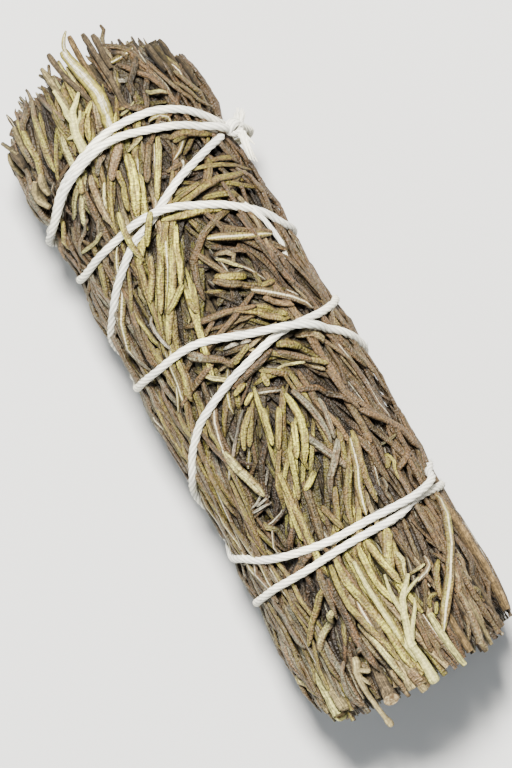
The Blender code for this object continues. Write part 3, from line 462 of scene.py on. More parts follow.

# %% Needles laid one by one, right half
BY_HAND += [
    # right of the second crossing
    ("dark", 1.3, (-1.4, 4.2), (-0.6, 1.5), (0.0, -1.2), (0.8, -3.8)),
    ("yellow", 1.2, (0.9, 1.2), (3.0, 1.1)),
    ("tan", 1.4, (-1.5, 8.7), (-0.5, 10.5), (1.5, 11.3)),
    ("olive", 1.4, (-1.8, 5.3), (-0.8, 7.0), (0.5, 8.6)),
    ("olive", 1.2, (1.8, 7.5), (3.0, 8.7), (4.5, 10.2)),
    ("brown", 1.2, (-0.8, 4.5), (1.2, 6.8), (3.0, 8.3)),
    ("pale", 0.6, (1.5, 3.0), (1.6, 5.2), (2.7, 7.3)),
    ("orange", 1.3, (5.3, 9.8), (9.0, 10.2), (12.8, 10.9)),
    ("dark", 1.3, (5.7, 4.5), (6.8, 7.5), (9.0, 9.3), (11.2, 10.2)),
    ("grey", 1.2, (5.3, 3.8), (8.3, 4.8), (12.0, 5.3), (15.0, 5.0)),
    ("grey", 1.1, (8.3, 6.8), (11.3, 6.2), (14.7, 5.6)),
    ("yellow", 1.4, (5.2, 2.7), (9.0, 3.0), (12.8, 1.8), (15.8, 0.0)),
    ("yellow", 1.2, (9.5, 1.6), (12.0, 0.6), (14.5, -0.6)),
    ("olive", 1.2, (6.5, 0.9), (9.5, -0.8), (12.0, -2.2)),
    ("yellow", 1.1, (5.5, -1.2), (8.0, -2.0), (11.0, -2.6)),
    ("white", 0.6, (4.2, -4.2), (6.8, -6.8), (9.3, -8.3), (12.3, -10.5)),
    ("yellow", 1.1, (2.7, -1.5), (3.8, -3.2)),
    ("olive", 1.1, (0.9, -1.8), (1.7, -3.8)),
    ("olive", 1.2, (4.8, -3.0), (7.2, -5.2), (9.6, -6.4)),
    ("olive*", 1.4, (15.8, 7.5), (19.5, 6.5), (23.3, 4.8), (27.0, 4.0)),
    ("olive", 1.3, (19.0, 5.7), (21.0, 4.2), (24.0, 2.7), (27.3, 1.5)),
    ("grey", 1.3, (15.0, 6.0), (17.3, 4.2), (19.5, 2.3), (22.5, 0.8)),
    ("olive", 1.3, (21.0, 2.3), (24.0, 0.8), (27.0, -0.8)),
    ("brown", 1.3, (18.0, -1.5), (21.8, -2.0), (27.0, -3.3)),
    ("olive", 1.2, (22.5, -1.0), (24.8, -0.4), (27.0, 0.2)),
    ("yellow", 1.2, (17.5, 0.8), (18.6, -0.8), (19.2, -1.9)),
    ("olive", 1.2, (15.0, -3.8), (19.5, -4.2), (24.8, -4.5), (27.3, -5.0)),
    ("yellow", 1.1, (12.6, -0.8), (16.0, -1.8), (20.0, -3.2)),
    ("white", 0.6, (13.5, -5.2), (15.8, -7.2), (17.3, -9.0), (17.7, -10.2)),
    ("white", 0.5, (17.4, -7.3), (17.8, -9.3)),
    ("white", 0.5, (18.3, -7.3), (18.3, -9.8)),
    ("pale", 1.6, (8.3, -8.9), (11.0, -8.6), (14.0, -8.1), (17.0, -7.4)),
    ("orange", 1.6, (12.8, 10.8), (15.8, 12.8), (18.8, 14.0), (22.5, 14.6)),
    ("olive", 1.2, (20.3, 11.7), (22.5, 10.2)),
    ("yellow", 0.8, (20.6, 11.5), (24.8, 10.5)),
    ("orange", 1.2, (21.8, 13.3), (23.6, 11.6)),
    ("pale", 0.6, (18.8, 13.3), (19.1, 11.3)),
    ("brown", 1.5, (16.0, 9.0), (20.0, 9.2), (24.5, 9.6)),
    ("grey", 1.1, (23.4, 8.9), (26.8, 8.3)),
    # the yellow stream that runs to the cut end
    ("pale", 0.6, (37.6, 7.8), (37.9, 5.1)),
    ("yellow", 1.9, (30.2, 5.7), (33.0, 4.2), (36.0, 3.3)),
    ("yellow", 1.3, (30.2, 2.2), (33.0, 2.5), (36.0, 3.0), (38.3, 3.3)),
    ("yellow", 1.4, (30.3, 0.8), (33.8, 0.5), (36.8, 0.5), (39.3, 1.2), (41.3, 1.8)),
    ("pale", 0.8, (33.8, 5.0), (36.0, 5.2), (37.8, 4.4)),
    ("yellow", 1.5, (30.2, -1.4), (33.8, -1.2), (38.3, -1.2), (42.0, -0.5), (46.5, -0.5)),
    ("yellow", 1.5, (30.4, -3.0), (35.3, -3.2), (39.0, -2.2), (43.5, -1.5), (48.0, -1.4),
     (51.8, -0.6)),
    ("olive", 1.3, (30.8, -4.3), (36.0, -4.8), (39.8, -4.2), (43.5, -3.0), (48.0, -2.3)),
    ("pale", 1.3, (40.5, -5.2), (43.5, -4.2), (46.5, -3.4), (50.3, -3.0), (52.5, -2.3)),
    ("tan", 1.3, (42.0, -5.7), (45.0, -5.1), (48.0, -4.5), (51.5, -4.8)),
    ("tan", 0.9, (48.8, -4.0), (53.6, -3.9)),
    ("tan", 2.0, (50.0, -1.6), (53.8, -0.9)),
    # below the stream
    ("dark", 1.4, (32.3, -5.4), (36.8, -6.0), (40.5, -6.3), (44.3, -5.9), (48.0, -5.4)),
    ("brown", 1.4, (30.3, -6.0), (34.5, -6.5), (38.3, -7.0)),
    ("olive", 1.3, (33.3, -6.5), (34.8, -8.7), (36.8, -10.5), (38.7, -12.0), (39.8, -12.5)),
    ("pale", 1.5, (36.9, -6.9), (38.0, -8.7), (39.3, -10.2), (41.3, -11.3)),
    ("grey", 1.0, (43.8, -6.0), (44.3, -8.0)),
    ("tan", 1.0, (45.8, -7.5), (47.5, -6.9)),
    ("grey", 1.1, (44.3, -9.7), (46.5, -10.6), (49.5, -11.0), (51.5, -10.5)),
    ("grey", 1.2, (30.5, -13.8), (36.0, -13.5), (39.8, -13.2)),
    ("olive", 1.1, (31.0, -14.9), (37.5, -14.7), (44.0, -14.6)),
    ("pale", 1.4, (42.8, -15.8), (45.8, -15.6)),
    # the brown side of the right end
    ("orange", 1.1, (44.0, 14.4), (50.3, 13.8)),
    ("brown", 1.3, (46.3, 13.4), (51.6, 13.0)),
    ("tan", 1.0, (43.5, 11.3), (48.0, 11.2), (53.2, 10.8)),
    ("tan", 1.4, (44.0, 9.8), (49.5, 9.8), (51.8, 9.2), (53.5, 9.5)),
    ("tan", 1.4, (44.5, 7.3), (48.8, 7.3), (52.4, 7.6)),
    ("olive", 1.2, (44.3, 12.0), (45.8, 12.6), (47.2, 13.3)),
    ("tan", 1.1, (38.7, 12.0), (39.3, 12.6), (41.3, 12.3), (43.5, 12.0)),
    ("tan", 0.7, (46.5, 3.3), (51.5, 3.1)),
    ("brown", 1.0, (42.0, 2.8), (46.5, 2.7), (49.5, 2.3)),
]
# Two needles that were pulled over the string at its first crossing.
OVER_THE_STRING = [
    ("yellow", 1.1, (-28.3, -1.0), (-26.8, -2.0), (-24.0, -3.9)),
    ("yellow", 1.3, (-30.6, -4.9), (-28.2, -5.2), (-25.5, -5.6), (-22.5, -5.4)),
]
# Needles that stand clear of the heap: each place has its own radius as well.
STANDING_CLEAR = [
    ("yellow*", 1.65, (29.8, 14.3, 15.4), (31.5, 13.8, 16.2), (34.5, 12.9, 16.4),
     (38.0, 11.1, 16.5), (42.0, 8.7, 16.4), (45.0, 6.7, 16.2), (47.8, 5.2, 15.8)),
    ("olive", 1.1, (38.2, 9.7, 15.5), (39.3, 8.5, 15.8), (41.0, 7.7, 15.8), (43.6, 7.1, 15.6)),
    ("yellow", 0.9, (42.3, 7.0, 15.7), (42.3, 5.8, 15.6), (43.6, 5.2, 15.5)),
    ("yellow", 0.8, (43.4, 6.3, 15.8), (45.0, 5.5, 15.6)),
    ("tan*", 1.0, (36.6, 8.3, 15.4), (38.2, 7.9, 15.9), (39.3, 5.5, 15.6)),
]
by_hand = len(BY_HAND) + len(OVER_THE_STRING) + len(STANDING_CLEAR)
print(by_hand, "needles are laid by hand")

# %% [markdown]
# ## The heap
# Needles don't float at chosen heights: each one rests on those below it. So the skin is unrolled
# into a grid that remembers how high the heap is at each place. A new needle reads the heights
# under it, bridges the dips because it is stiff, and raises the grid where it lies. The finished
# heap is then pressed to the roll's true thickness. The top layers keep their depths and the ones
# below give way, and all of them dip under the string.

# %% The heap and its rules
CELL = 0.4  # the grid's step along the roll
CELL_TURN = 1.5  # and its step round it, in degrees
X_FROM = -60.0
SAMPLES = 15
SHARES = np.linspace(0, 1, SAMPLES)
ROOT_SINK = np.interp(SHARES, [0, 0.12, 0.3], [0.55, 0.25, 0.0])
TRACKS = np.array([-0.36, 0.0, 0.36])[:, None]  # lines along a needle, as shares of its width
SETTLED = 0.92  # share of its thickness that a needle adds to the heap


class Heap:
    """How high the needles are heaped at each place of the unrolled skin."""

    def __init__(self):
        self.high = np.zeros((int(-2 * X_FROM / CELL), int(360 / CELL_TURN)))

    def cells(self, x, angle):
        i = np.clip(((x - X_FROM) / CELL).astype(int), 0, self.high.shape[0] - 1)
        j = ((angle % 360.0) / CELL_TURN).astype(int) % self.high.shape[1]
        return i, j

    def lay(self, x, angle, width, thick):
        """Rests a needle on the heap and returns the height of its middle at each sample."""
        dx = np.gradient(x)
        ds = np.gradient(np.radians(angle)) * SKIN
        size = np.hypot(dx, ds) + 1e-9
        offsets = TRACKS * width
        wide_x = x - ds / size * offsets
        wide_angle = angle + np.degrees(dx / size * offsets / SKIN)
        i, j = self.cells(wide_x, wide_angle)
        under = self.high[i, j].max(axis=0)
        bridged = np.maximum(under, np.maximum(np.r_[under[1:], 0], np.r_[0, under[:-1]]))
        for _ in range(2):
            ends = np.r_[bridged[0], bridged, bridged[-1]]
            bridged = (ends[:-2] + 2 * ends[1:-1] + ends[2:]) / 4
        rest = np.maximum(bridged - ROOT_SINK, 0)
        top = np.broadcast_to(rest + thick * SETTLED, i.shape)
        np.maximum.at(self.high, (i, j), top)
        return rest + thick / 2


def blurred(grid, reach_x, reach_angle):
    """The grid's running mean over the given reaches. It wraps round the roll."""
    for axis, reach, mode in ((0, reach_x, "edge"), (1, reach_angle, "wrap")):
        pad = [(0, 0), (0, 0)]
        pad[axis] = (reach, reach)
        wide = np.pad(grid, pad, mode=mode)
        size = grid.shape[axis]
        shifted = [wide.take(range(k, k + size), axis=axis) for k in range(2 * reach + 1)]
        grid = np.mean(shifted, axis=0)
    return grid


# %% [markdown]
# The roll isn't quite a cylinder: it is lumpy, narrows to a ragged dome at the left end, and is cut
# nearly flat at the right. The table flattens it underneath.

# %% Outline of the roll
MEAN_SINK = 0.22  # the mean skin lies this far under SKIN
LEFT_NARROWING, RIGHT_NARROWING = 2.3, 0.5
SKIN_GAP = 0.12  # between the skin and the table
LEFT_REACH, RIGHT_REACH = -54.0, 52.6
DIP_DEPTH, DIP_REACH = 1.5, 2.6  # of the dip that the string presses into the needles
STRING_PRESS = 0.1


def skin_radius(x, angle):
    """How far out the needles reach at a place on the roll."""
    lumps = 0.22 * np.sin(x * 0.31 + np.radians(angle) * 2 + 1.0)
    lumps = lumps + 0.16 * np.sin(x * 0.11 - np.radians(angle) * 3)
    radius = SKIN - MEAN_SINK + lumps - LEFT_NARROWING * smooth_step(-43, -55, x)
    radius = radius - RIGHT_NARROWING * smooth_step(48, 55, x)
    down = np.maximum(-np.sin(np.radians(angle)), 1e-3)
    return np.minimum(radius, (AXIS_Z - SKIN_GAP) / down)


def end_x(side, angle):
    """Where the outer needles end, on the left (-1) or the right (+1)."""
    edge = np.abs(np.cos(np.radians(angle)))
    left = LEFT_REACH + 2.5 * edge**2 + 5.0 * edge**8
    right = RIGHT_REACH - 2.6 * edge**8
    return left if side < 0 else right


def ceiling(x, angle):
    """Greatest radius under the string, easing back to the skin on either side."""
    flat_x, flat_angle = np.ravel(x), np.ravel(angle)
    best = np.full(flat_x.shape, 1e9)
    for part in np.array_split(route, 24):
        across = flat_x[:, None] - part[:, 0]
        turned = np.radians(angle_between(flat_angle[:, None], part[:, 1])) * SKIN
        best = np.minimum(best, (across**2 + turned**2).min(axis=1))
    near = np.sqrt(best).reshape(np.shape(x))
    bottom = string_bed(x, angle) - STRING_DIAMETER / 2
    return bottom + STRING_PRESS + DIP_DEPTH * (1 - np.exp(-((near / DIP_REACH) ** 2)))


# %% [markdown]
# Now the needles are dealt out. Lower layers are browner and only fill the roll; the patches rule
# the upper ones. The random draws are seeded, so the heap is the same each time.

# %% Deal out the needles
NEEDLES_AT_RANDOM = 4600
TUFTS = 460
TUFT_SLIMNESS = 1.6  # a tuft is this much longer than it is wide
TUFT_BEND, OWN_BEND = 13, 11  # degrees
TUFT_TURN, OWN_TURN = 0.7, 0.45  # shares of the patch's scatter
SHARP_BEND_SHARE, SHARP_BEND = 0.05, 4.5
NEEDLE_WIDTHS = (0.66, 1.3)
FLIPPED_SHARE = 0.09
RAGGED_RIGHT, RAGGED_LEFT = (-0.9, 3.0), (-0.9, 3.5)
TUFT_COLOUR_SHARE = 0.5
LOWER_LAYERS, BROWNED_SHARE = 0.5, 0.6
LOWER_COLOURS = ("brown", "dark", "olive")
deal = np.random.default_rng(20)


def tufts():
    """Places where needles lie alike, as leaves of one twig do: x, angle, turn, bend and pick."""
    return (deal.uniform(-54, 54, TUFTS), deal.uniform(0, 360, TUFTS), deal.normal(0, 1, TUFTS),
            deal.normal(0, TUFT_BEND, TUFTS), deal.random(TUFTS))


def nearest_tuft(x, angle, tuft_x, tuft_angle):
    """For each place, the number of the tuft it belongs to."""
    turned = np.radians(angle_between(angle[:, None], tuft_angle)) * SKIN * TUFT_SLIMNESS
    return np.argmin((x[:, None] - tuft_x) ** 2 + turned**2, axis=1)


def kept_on_the_roll(xs, angle):
    """Slides needles back that would stand out too far past the roll's ends."""
    count = len(xs)
    over_right = xs.max(axis=1) - end_x(1, angle) + deal.uniform(*RAGGED_RIGHT, count)
    over_left = end_x(-1, angle) - xs.min(axis=1) + deal.uniform(*RAGGED_LEFT, count)
    return xs - np.maximum(over_right, 0)[:, None] + np.maximum(over_left, 0)[:, None]


def dealt_colours(rows, rank, picks):
    """Half the needles take their tuft's pick of the patch's colours, the others their own."""
    colours = []
    for row, share, pick in zip(rows, rank, picks):
        names = row[7].split()
        chosen = pick if deal.random() < TUFT_COLOUR_SHARE else deal.random()
        name = names[int(chosen * len(names))]
        if share < LOWER_LAYERS and deal.random() < BROWNED_SHARE:
            name = LOWER_COLOURS[deal.integers(3)]
        colours.append(PAINT_LIGHT[name])
    return np.array(colours)


def dealt_needles():
    """Random needles as arrays: their samples' x and angle, width, colour, flip and rank."""
    count = NEEDLES_AT_RANDOM
    rank = np.linspace(0, 1, count)
    x, angle = deal.uniform(-52, 52, count), deal.uniform(0, 360, count)
    rows = [PATCHES[k] for k in patch_of(x, angle)]
    tuft_x, tuft_angle, tuft_turn, tuft_bend, tuft_pick = tufts()
    tuft = nearest_tuft(x, angle, tuft_x, tuft_angle)
    lie = np.array([row[4] for row in rows], float)
    scatter = np.array([row[5] for row in rows], float)
    spans = np.array([LENGTHS[row[6]] for row in rows])
    length = deal.uniform(spans[:, 0], spans[:, 1])
    heading = lie + scatter * (TUFT_TURN * tuft_turn[tuft] + OWN_TURN * deal.normal(0, 1, count))
    heading = np.radians(heading) + np.where(deal.random(count) < 0.5, np.pi, 0)
    bend = np.radians(tuft_bend[tuft] + deal.normal(0, OWN_BEND, count))
    bend = np.where(deal.random(count) < SHARP_BEND_SHARE, bend * SHARP_BEND, bend)
    course = heading[:, None] + bend[:, None] * (SHARES - 0.5)
    step = length[:, None] / (SAMPLES - 1)
    walk_x = np.cumsum(np.cos(course) * step, axis=1)
    walk_s = np.cumsum(np.sin(course) * step, axis=1)
    xs = x[:, None] + walk_x - walk_x.mean(axis=1, keepdims=True)
    angles = angle[:, None] + np.degrees((walk_s - walk_s.mean(axis=1, keepdims=True)) / SKIN)
    xs = kept_on_the_roll(xs, angle)
    width = deal.uniform(*NEEDLE_WIDTHS, count)
    colours = dealt_colours(rows, rank, tuft_pick[tuft])
    return xs, angles, width, colours, deal.random(count) < FLIPPED_SHARE, rank


dealt = dealt_needles()
print(len(dealt[0]), "needles are dealt at random, in", TUFTS, "tufts")

# %% [markdown]
# A needle that would cover a dark hollow is left out once more than half the heap is laid. That is
# how the hollows come about: something longer bridges the heap beside them.

# %% Lay them all
HAND_DEPTH = 0.4  # listed places are read this far under the skin
HAND_WIDTH = 0.95
HOLLOW_RANK = 0.6  # from this rank on, needles keep clear of the hollows
BURIED_RANK = 0.35  # up to this rank, needles are hardly seen


def over_a_hollow(x, angle):
    """Whether a needle's samples on the upper side come over one of the hollows."""
    y = seen_across(x, angle)
    if np.sin(np.radians(angle)).mean() < 0:
        return False
    return any(((x - hx) ** 2 + (y - hy) ** 2 < reach**2).any() for hx, hy, reach in HOLLOWS)


def hand_samples(places):
    """A listed needle's samples, on a smooth curve through its places."""
    places = np.array(places, float)
    steps = np.r_[0, np.cumsum(np.linalg.norm(np.diff(places, axis=0), axis=1))]
    wanted = SHARES * steps[-1]
    x, y = (through(steps, places[:, k], wanted) for k in range(2))
    return x, seen_angle(x, y, skin_radius(x, 90 + 0 * x) - HAND_DEPTH)


def thickness(width):
    return 0.2 + 0.32 * width


heap = Heap()
laid = []
for xs, angles, width, colour, flipped, rank in zip(*dealt):
    if rank > HOLLOW_RANK and over_a_hollow(xs, angles):
        continue
    heights = heap.lay(xs, angles, width, thickness(width))
    laid.append((xs, angles, heights, width, colour, flipped, rank < BURIED_RANK))
for name, width, *places in BY_HAND:
    xs, angles = hand_samples(places)
    width *= HAND_WIDTH
    heights = heap.lay(xs, angles, width, thickness(width))
    laid.append((xs, angles, heights, width, PAINT_LIGHT[name.strip("*")], name.endswith("*"), False))
print("the heap is", round(float(np.percentile(heap.high, 95)), 2), "mm high before it is pressed")

# %% Press the heap into the roll
CREST_LIFT = 0.95  # of the crest above the mean heap, as a share of its unevenness
LEAST_CREST = 1.5
PROUD_OF_SKIN, PROUD_UNDER_STRING = 0.45, 0.12
BURIAL_DEPTH = 4.0
grid_x, grid_angle = np.meshgrid(
    X_FROM + (np.arange(heap.high.shape[0]) + 0.5) * CELL,
    (np.arange(heap.high.shape[1]) + 0.5) * CELL_TURN, indexing="ij")
uneven = np.abs(heap.high - blurred(heap.high, 4, 4))
crest = np.maximum(blurred(heap.high, 6, 6) + CREST_LIFT * blurred(uneven, 6, 6), LEAST_CREST)
skin, under_string = skin_radius(grid_x, grid_angle), ceiling(grid_x, grid_angle)
room = blurred(np.minimum(skin, under_string) - FLOOR, 1, 1)
highest = np.minimum(skin + PROUD_OF_SKIN, under_string + PROUD_UNDER_STRING)


def pressed_radius(x, angle, height):
    """The radius of a height in the heap: its true depth near the crest, and pressed below."""
    i, j = heap.cells(x, angle)
    depth = crest[i, j] - height
    pressed = FLOOR + room[i, j] * np.exp(-np.maximum(depth, 0) / room[i, j])
    return np.minimum(pressed + np.maximum(-depth, 0), highest[i, j])


def burial(x, angle, height):
    """0 at the top of the heap and 1 well inside it."""
    i, j = heap.cells(x, angle)
    return np.clip((crest[i, j] - height) / BURIAL_DEPTH, 0.0, 1.0)


print("the roll's skin is at", round(float(FLOOR + room.mean()), 2), "mm on average")

# %% [markdown]
# ## From guide lines to needles
# A rosemary needle is a narrow leaf whose edges roll under, so its section is a flattened bean:
# two ridges on top with a groove between them, and a flat underside with a white midrib.
# Geometry Nodes run that one section along every guide line. The guides carry what each needle
# needs as named attributes: which way is out, how thick it is there, its colour, and how deep it
# is buried.

# %% Sections
NEEDLE_SECTION = [(0.50, 0.0), (0.58, 0.32), (0.42, 0.7), (0.06, 1.0), (-0.32, 0.8), (-0.36, 0.0),
                  (-0.32, -0.8), (0.06, -1.0), (0.42, -0.7), (0.58, -0.32)]


def linked(name, data):
    """A new object in the scene for a mesh, a lamp or a camera."""
    made = bpy.data.objects.new(name, data)
    bpy.context.scene.collection.objects.link(made)
    return made


def section_object(name, rows):
    """A closed outline of (height, side) rows, as a hidden guide for Curve to Mesh."""
    mesh = bpy.data.meshes.new(name)
    count = len(rows)
    mesh.from_pydata([(h, s, 0) for h, s in rows], [(i, (i + 1) % count) for i in range(count)], [])
    for key, values in (("side", [s for _, s in rows]), ("rise", [h for h, _ in rows])):
        attribute = mesh.attributes.new(key, "FLOAT", "POINT")
        attribute.data.foreach_set("value", values)
    return linked(name, mesh)


def round_section(sides, lobes=0, depth=0.0):
    """A circle, or a circle with lobes, of radius about 1."""
    turns = [2 * math.pi * k / sides for k in range(sides)]
    radii = [1 - depth + depth * math.cos(lobes * turn) for turn in turns]
    return [(r * math.cos(turn), -r * math.sin(turn)) for r, turn in zip(radii, turns)]


needle_section = section_object("needle section", NEEDLE_SECTION)
stem_section = section_object("stem section", round_section(10))

# %% Guide lines that carry attributes
KINDS = {"out": ("FLOAT_VECTOR", "vector"), "girth": ("FLOAT", "value"),
         "tint": ("FLOAT_COLOR", "color"), "look": ("FLOAT_VECTOR", "vector")}


def guide_object(name, lines):
    """A mesh of loose edges. Each line is a dict of rows: place, out, girth, tint and look."""
    counts = [len(line["place"]) for line in lines]
    starts = np.r_[0, np.cumsum(counts)]
    edges = [(k, k + 1) for s, c in zip(starts, counts) for k in range(s, s + c - 1)]
    mesh = bpy.data.meshes.new(name)
    mesh.from_pydata(np.concatenate([line["place"] for line in lines]).tolist(), edges, [])
    for key, (kind, field) in KINDS.items():
        rows = np.concatenate([line[key] for line in lines]).astype(np.float32)
        if key == "tint":
            rows = np.concatenate([rows, np.ones((len(rows), 1), np.float32)], axis=1)
        attribute = mesh.attributes.new(key, kind, "POINT")
        attribute.data.foreach_set(field, rows.ravel())
    return linked(name, mesh)


def guide_line(points, angles, girth, tint, look, roll=0.0):
    """A guide line through points, facing out of the roll and then rolled about itself."""
    along = np.gradient(points, axis=0)
    along /= np.linalg.norm(along, axis=1, keepdims=True)
    out = from_axis(0 * angles, angles, 1.0 + 0 * angles)
    out -= along * (out * along).sum(axis=1, keepdims=True)
    out /= np.linalg.norm(out, axis=1, keepdims=True)
    turn = (roll + 0 * angles)[:, None]
    out = out * np.cos(turn) + np.cross(along, out) * np.sin(turn)
    tint = np.broadcast_to(tint, (len(points), 3))
    return {"place": to_scene(points), "out": out, "girth": girth, "tint": tint, "look": look}


# %% [markdown]
# The trees below are wired by script, so a little class keeps the wiring short. Every tree ends
# the same way: copies made real, and one finish set on the whole.

# %% Wiring Geometry Nodes
SIDE_CORNERS = 4.5  # the swept sides have four corners, and a face with more is a cut end


class Tree:
    """A Geometry Nodes tree with a Guides input, named inputs and a Pieces output."""

    def __init__(self, name, **inputs):
        self.group = bpy.data.node_groups.new(name, "GeometryNodeTree")
        sockets = {"guides": "Geometry", **inputs, "finish": "Material"}
        for label, kind in sockets.items():
            self.group.interface.new_socket(label, in_out="INPUT", socket_type="NodeSocket" + kind)
        self.group.interface.new_socket("pieces", in_out="OUTPUT", socket_type="NodeSocketGeometry")
        self.start = self.group.nodes.new("NodeGroupInput").outputs
        self.end = self.group.nodes.new("NodeGroupOutput").inputs

    def node(self, kind, links=(), **settings):
        made = self.group.nodes.new(kind)
        for key, value in settings.items():
            setattr(made, key, value)
        for socket, value in dict(links).items():
            self.give(made.inputs[socket], value)
        return made

    def give(self, socket, value):
        if isinstance(value, bpy.types.NodeSocket):
            self.group.links.new(value, socket)
        else:
            socket.default_value = value

    def math(self, operation, a, b=0.0):
        return self.node("ShaderNodeMath", {0: a, 1: b}, operation=operation).outputs[0]

    def named(self, label, kind="FLOAT"):
        return self.node("GeometryNodeInputNamedAttribute", {"Name": label}, data_type=kind).outputs[0]

    def stored(self, geometry, label, value, domain="POINT"):
        links = {"Geometry": geometry, "Name": label, "Value": value}
        made = self.node("GeometryNodeStoreNamedAttribute", links, data_type="FLOAT", domain=domain)
        return made.outputs[0]

    def facing_curve(self, curve):
        """The curve with its normals taken from the guides' own out attribute."""
        links = {"Curve": curve, "Normal": self.named("out", "FLOAT_VECTOR")}
        return self.node("GeometryNodeSetCurveNormal", links, mode="FREE").outputs[0]

    def swept(self, curve, scale):
        """The section swept along the curve, smooth, with its cut ends marked."""
        section = self.node("GeometryNodeObjectInfo", {"Object": self.start["section"]})
        outline = self.node("GeometryNodeMeshToCurve", {"Mesh": section.outputs["Geometry"]})
        links = {"Curve": curve, "Profile Curve": outline.outputs[0], "Scale": scale,
                 "Fill Caps": True}
        mesh = self.node("GeometryNodeCurveToMesh", links)
        smooth = self.node("GeometryNodeSetShadeSmooth", {"Geometry": mesh.outputs[0]})
        corners = self.node("GeometryNodeInputMeshFaceNeighbors").outputs["Vertex Count"]
        is_cut = self.math("GREATER_THAN", corners, SIDE_CORNERS)
        return self.stored(smooth.outputs[0], "cut", is_cut, "FACE")

    def close(self, geometry):
        real = self.node("GeometryNodeRealizeInstances", {"Geometry": geometry})
        links = {"Geometry": real.outputs[0], "Material": self.start["finish"]}
        self.give(self.end["pieces"], self.node("GeometryNodeSetMaterial", links).outputs[0])
        return self.group


def set_inputs(modifier, **values):
    """Sets a node modifier's inputs by name, through each socket's identifier."""
    for item in modifier.node_group.interface.items_tree:
        if item.item_type == "SOCKET" and item.name in values:
            modifier[item.identifier] = values[item.name]


def grown(name, guides, group, **inputs):
    """The plain mesh that a tree makes from guide lines, as a finished piece."""
    modifier = guides.modifiers.new("grow", "NODES")
    modifier.node_group = group
    set_inputs(modifier, **inputs)
    graph = bpy.context.evaluated_depsgraph_get()
    mesh = bpy.data.meshes.new_from_object(guides.evaluated_get(graph))
    bpy.data.objects.remove(guides, do_unlink=True)
    mesh.name = name
    return linked(name, mesh)


def sweep_tree():
    """Runs a section along guide lines, as thick as their girth."""
    tree = Tree("sweep a section", section="Object", unit="Float")
    curve = tree.node("GeometryNodeMeshToCurve", {"Mesh": tree.start["guides"]}).outputs[0]
    scale = tree.math("MULTIPLY", tree.named("girth"), tree.start["unit"])
    return tree.close(tree.swept(tree.facing_curve(curve), scale))


sweep = sweep_tree()

# %% [markdown]
# ## Finishes
# Dry needles are matt and wrinkled across, like crepe. The wrinkles follow each needle, so the
# pattern reads the attributes that the guides carried: millimetres from the root, place across,
# and a number of the needle's own. Buried needles are painted darker, as painted shade for the
# light that doesn't reach down into the heap.

# %% Wiring finishes
class Finish:
    """A material being wired up, with short names for the usual nodes."""

    def __init__(self, name, roughness, specular=0.3):
        self.material = bpy.data.materials.new(name)
        self.material.use_nodes = True
        self.nodes = self.material.node_tree.nodes
        self.shader = self.nodes["Principled BSDF"]
        self.shader.inputs["Roughness"].default_value = roughness
        self.shader.inputs["Specular IOR Level"].default_value = specular

    def give(self, socket, value):
        if isinstance(value, bpy.types.NodeSocket):
            self.material.node_tree.links.new(value, socket)
        elif isinstance(value, (tuple, np.ndarray)):
            socket.default_value = (*value[:3], 1.0)
        else:
            socket.default_value = value

    def node(self, kind, links=(), **settings):
        made = self.nodes.new(kind)
        for key, value in settings.items():
            setattr(made, key, value)
        for socket, value in dict(links).items():
            self.give(made.inputs[socket], value)
        return made

    def attribute(self, name, output="Fac"):
        return self.node("ShaderNodeAttribute", attribute_name=name).outputs[output]

    def parts(self, vector):
        return self.node("ShaderNodeSeparateXYZ", {0: vector}).outputs

    def math(self, operation, a, b=0.0, c=0.0):
        return self.node("ShaderNodeMath", {0: a, 1: b, 2: c}, operation=operation).outputs[0]

    def times(self, a, b):
        return self.math("MULTIPLY", a, b)

    def vector(self, x, y, z):
        return self.node("ShaderNodeCombineXYZ", {0: x, 1: y, 2: z}).outputs[0]

    def grey(self, value):
        return self.vector(value, value, value)

    def place(self):
        return self.node("ShaderNodeTexCoord").outputs["Object"]

    def noise(self, vector, scale, detail=2.0, roughness=0.55):
        links = {"Vector": vector, "Scale": scale, "Detail": detail, "Roughness": roughness}
        return self.node("ShaderNodeTexNoise", links).outputs["Fac"]

    def remap(self, value, low, high, to_low, to_high):
        links = {"Value": value, "From Min": low, "From Max": high,
                 "To Min": to_low, "To Max": to_high}
        ramp = self.node("ShaderNodeMapRange", links, interpolation_type="SMOOTHSTEP")
        return ramp.outputs["Result"]

    def mix(self, share, a, b, blend="MIX"):
        links = {0: share, 6: a, 7: b}
        return self.node("ShaderNodeMix", links, data_type="RGBA", blend_type=blend).outputs[2]

    def shaded(self, colour, value):
        return self.mix(1.0, colour, self.grey(value), "MULTIPLY")

    def done(self, colour, height, distance, strength=1.0):
        links = {"Height": height, "Distance": distance, "Strength": strength}
        self.give(self.shader.inputs["Normal"], self.node("ShaderNodeBump", links).outputs["Normal"])
        self.give(self.shader.inputs["Base Color"], colour)
        return self.material


# %% Dry needles
LEAF_DEPTH = 0.465  # darkens the paint card's colours on leaves and bark
EASE = (0.4, 0.6)  # the narrow middle of a noise, so that its marks are crisp
NUMBER_SPREAD = 37.0  # sets the noises of two needles well apart
CREPE_BUMP = 0.0004


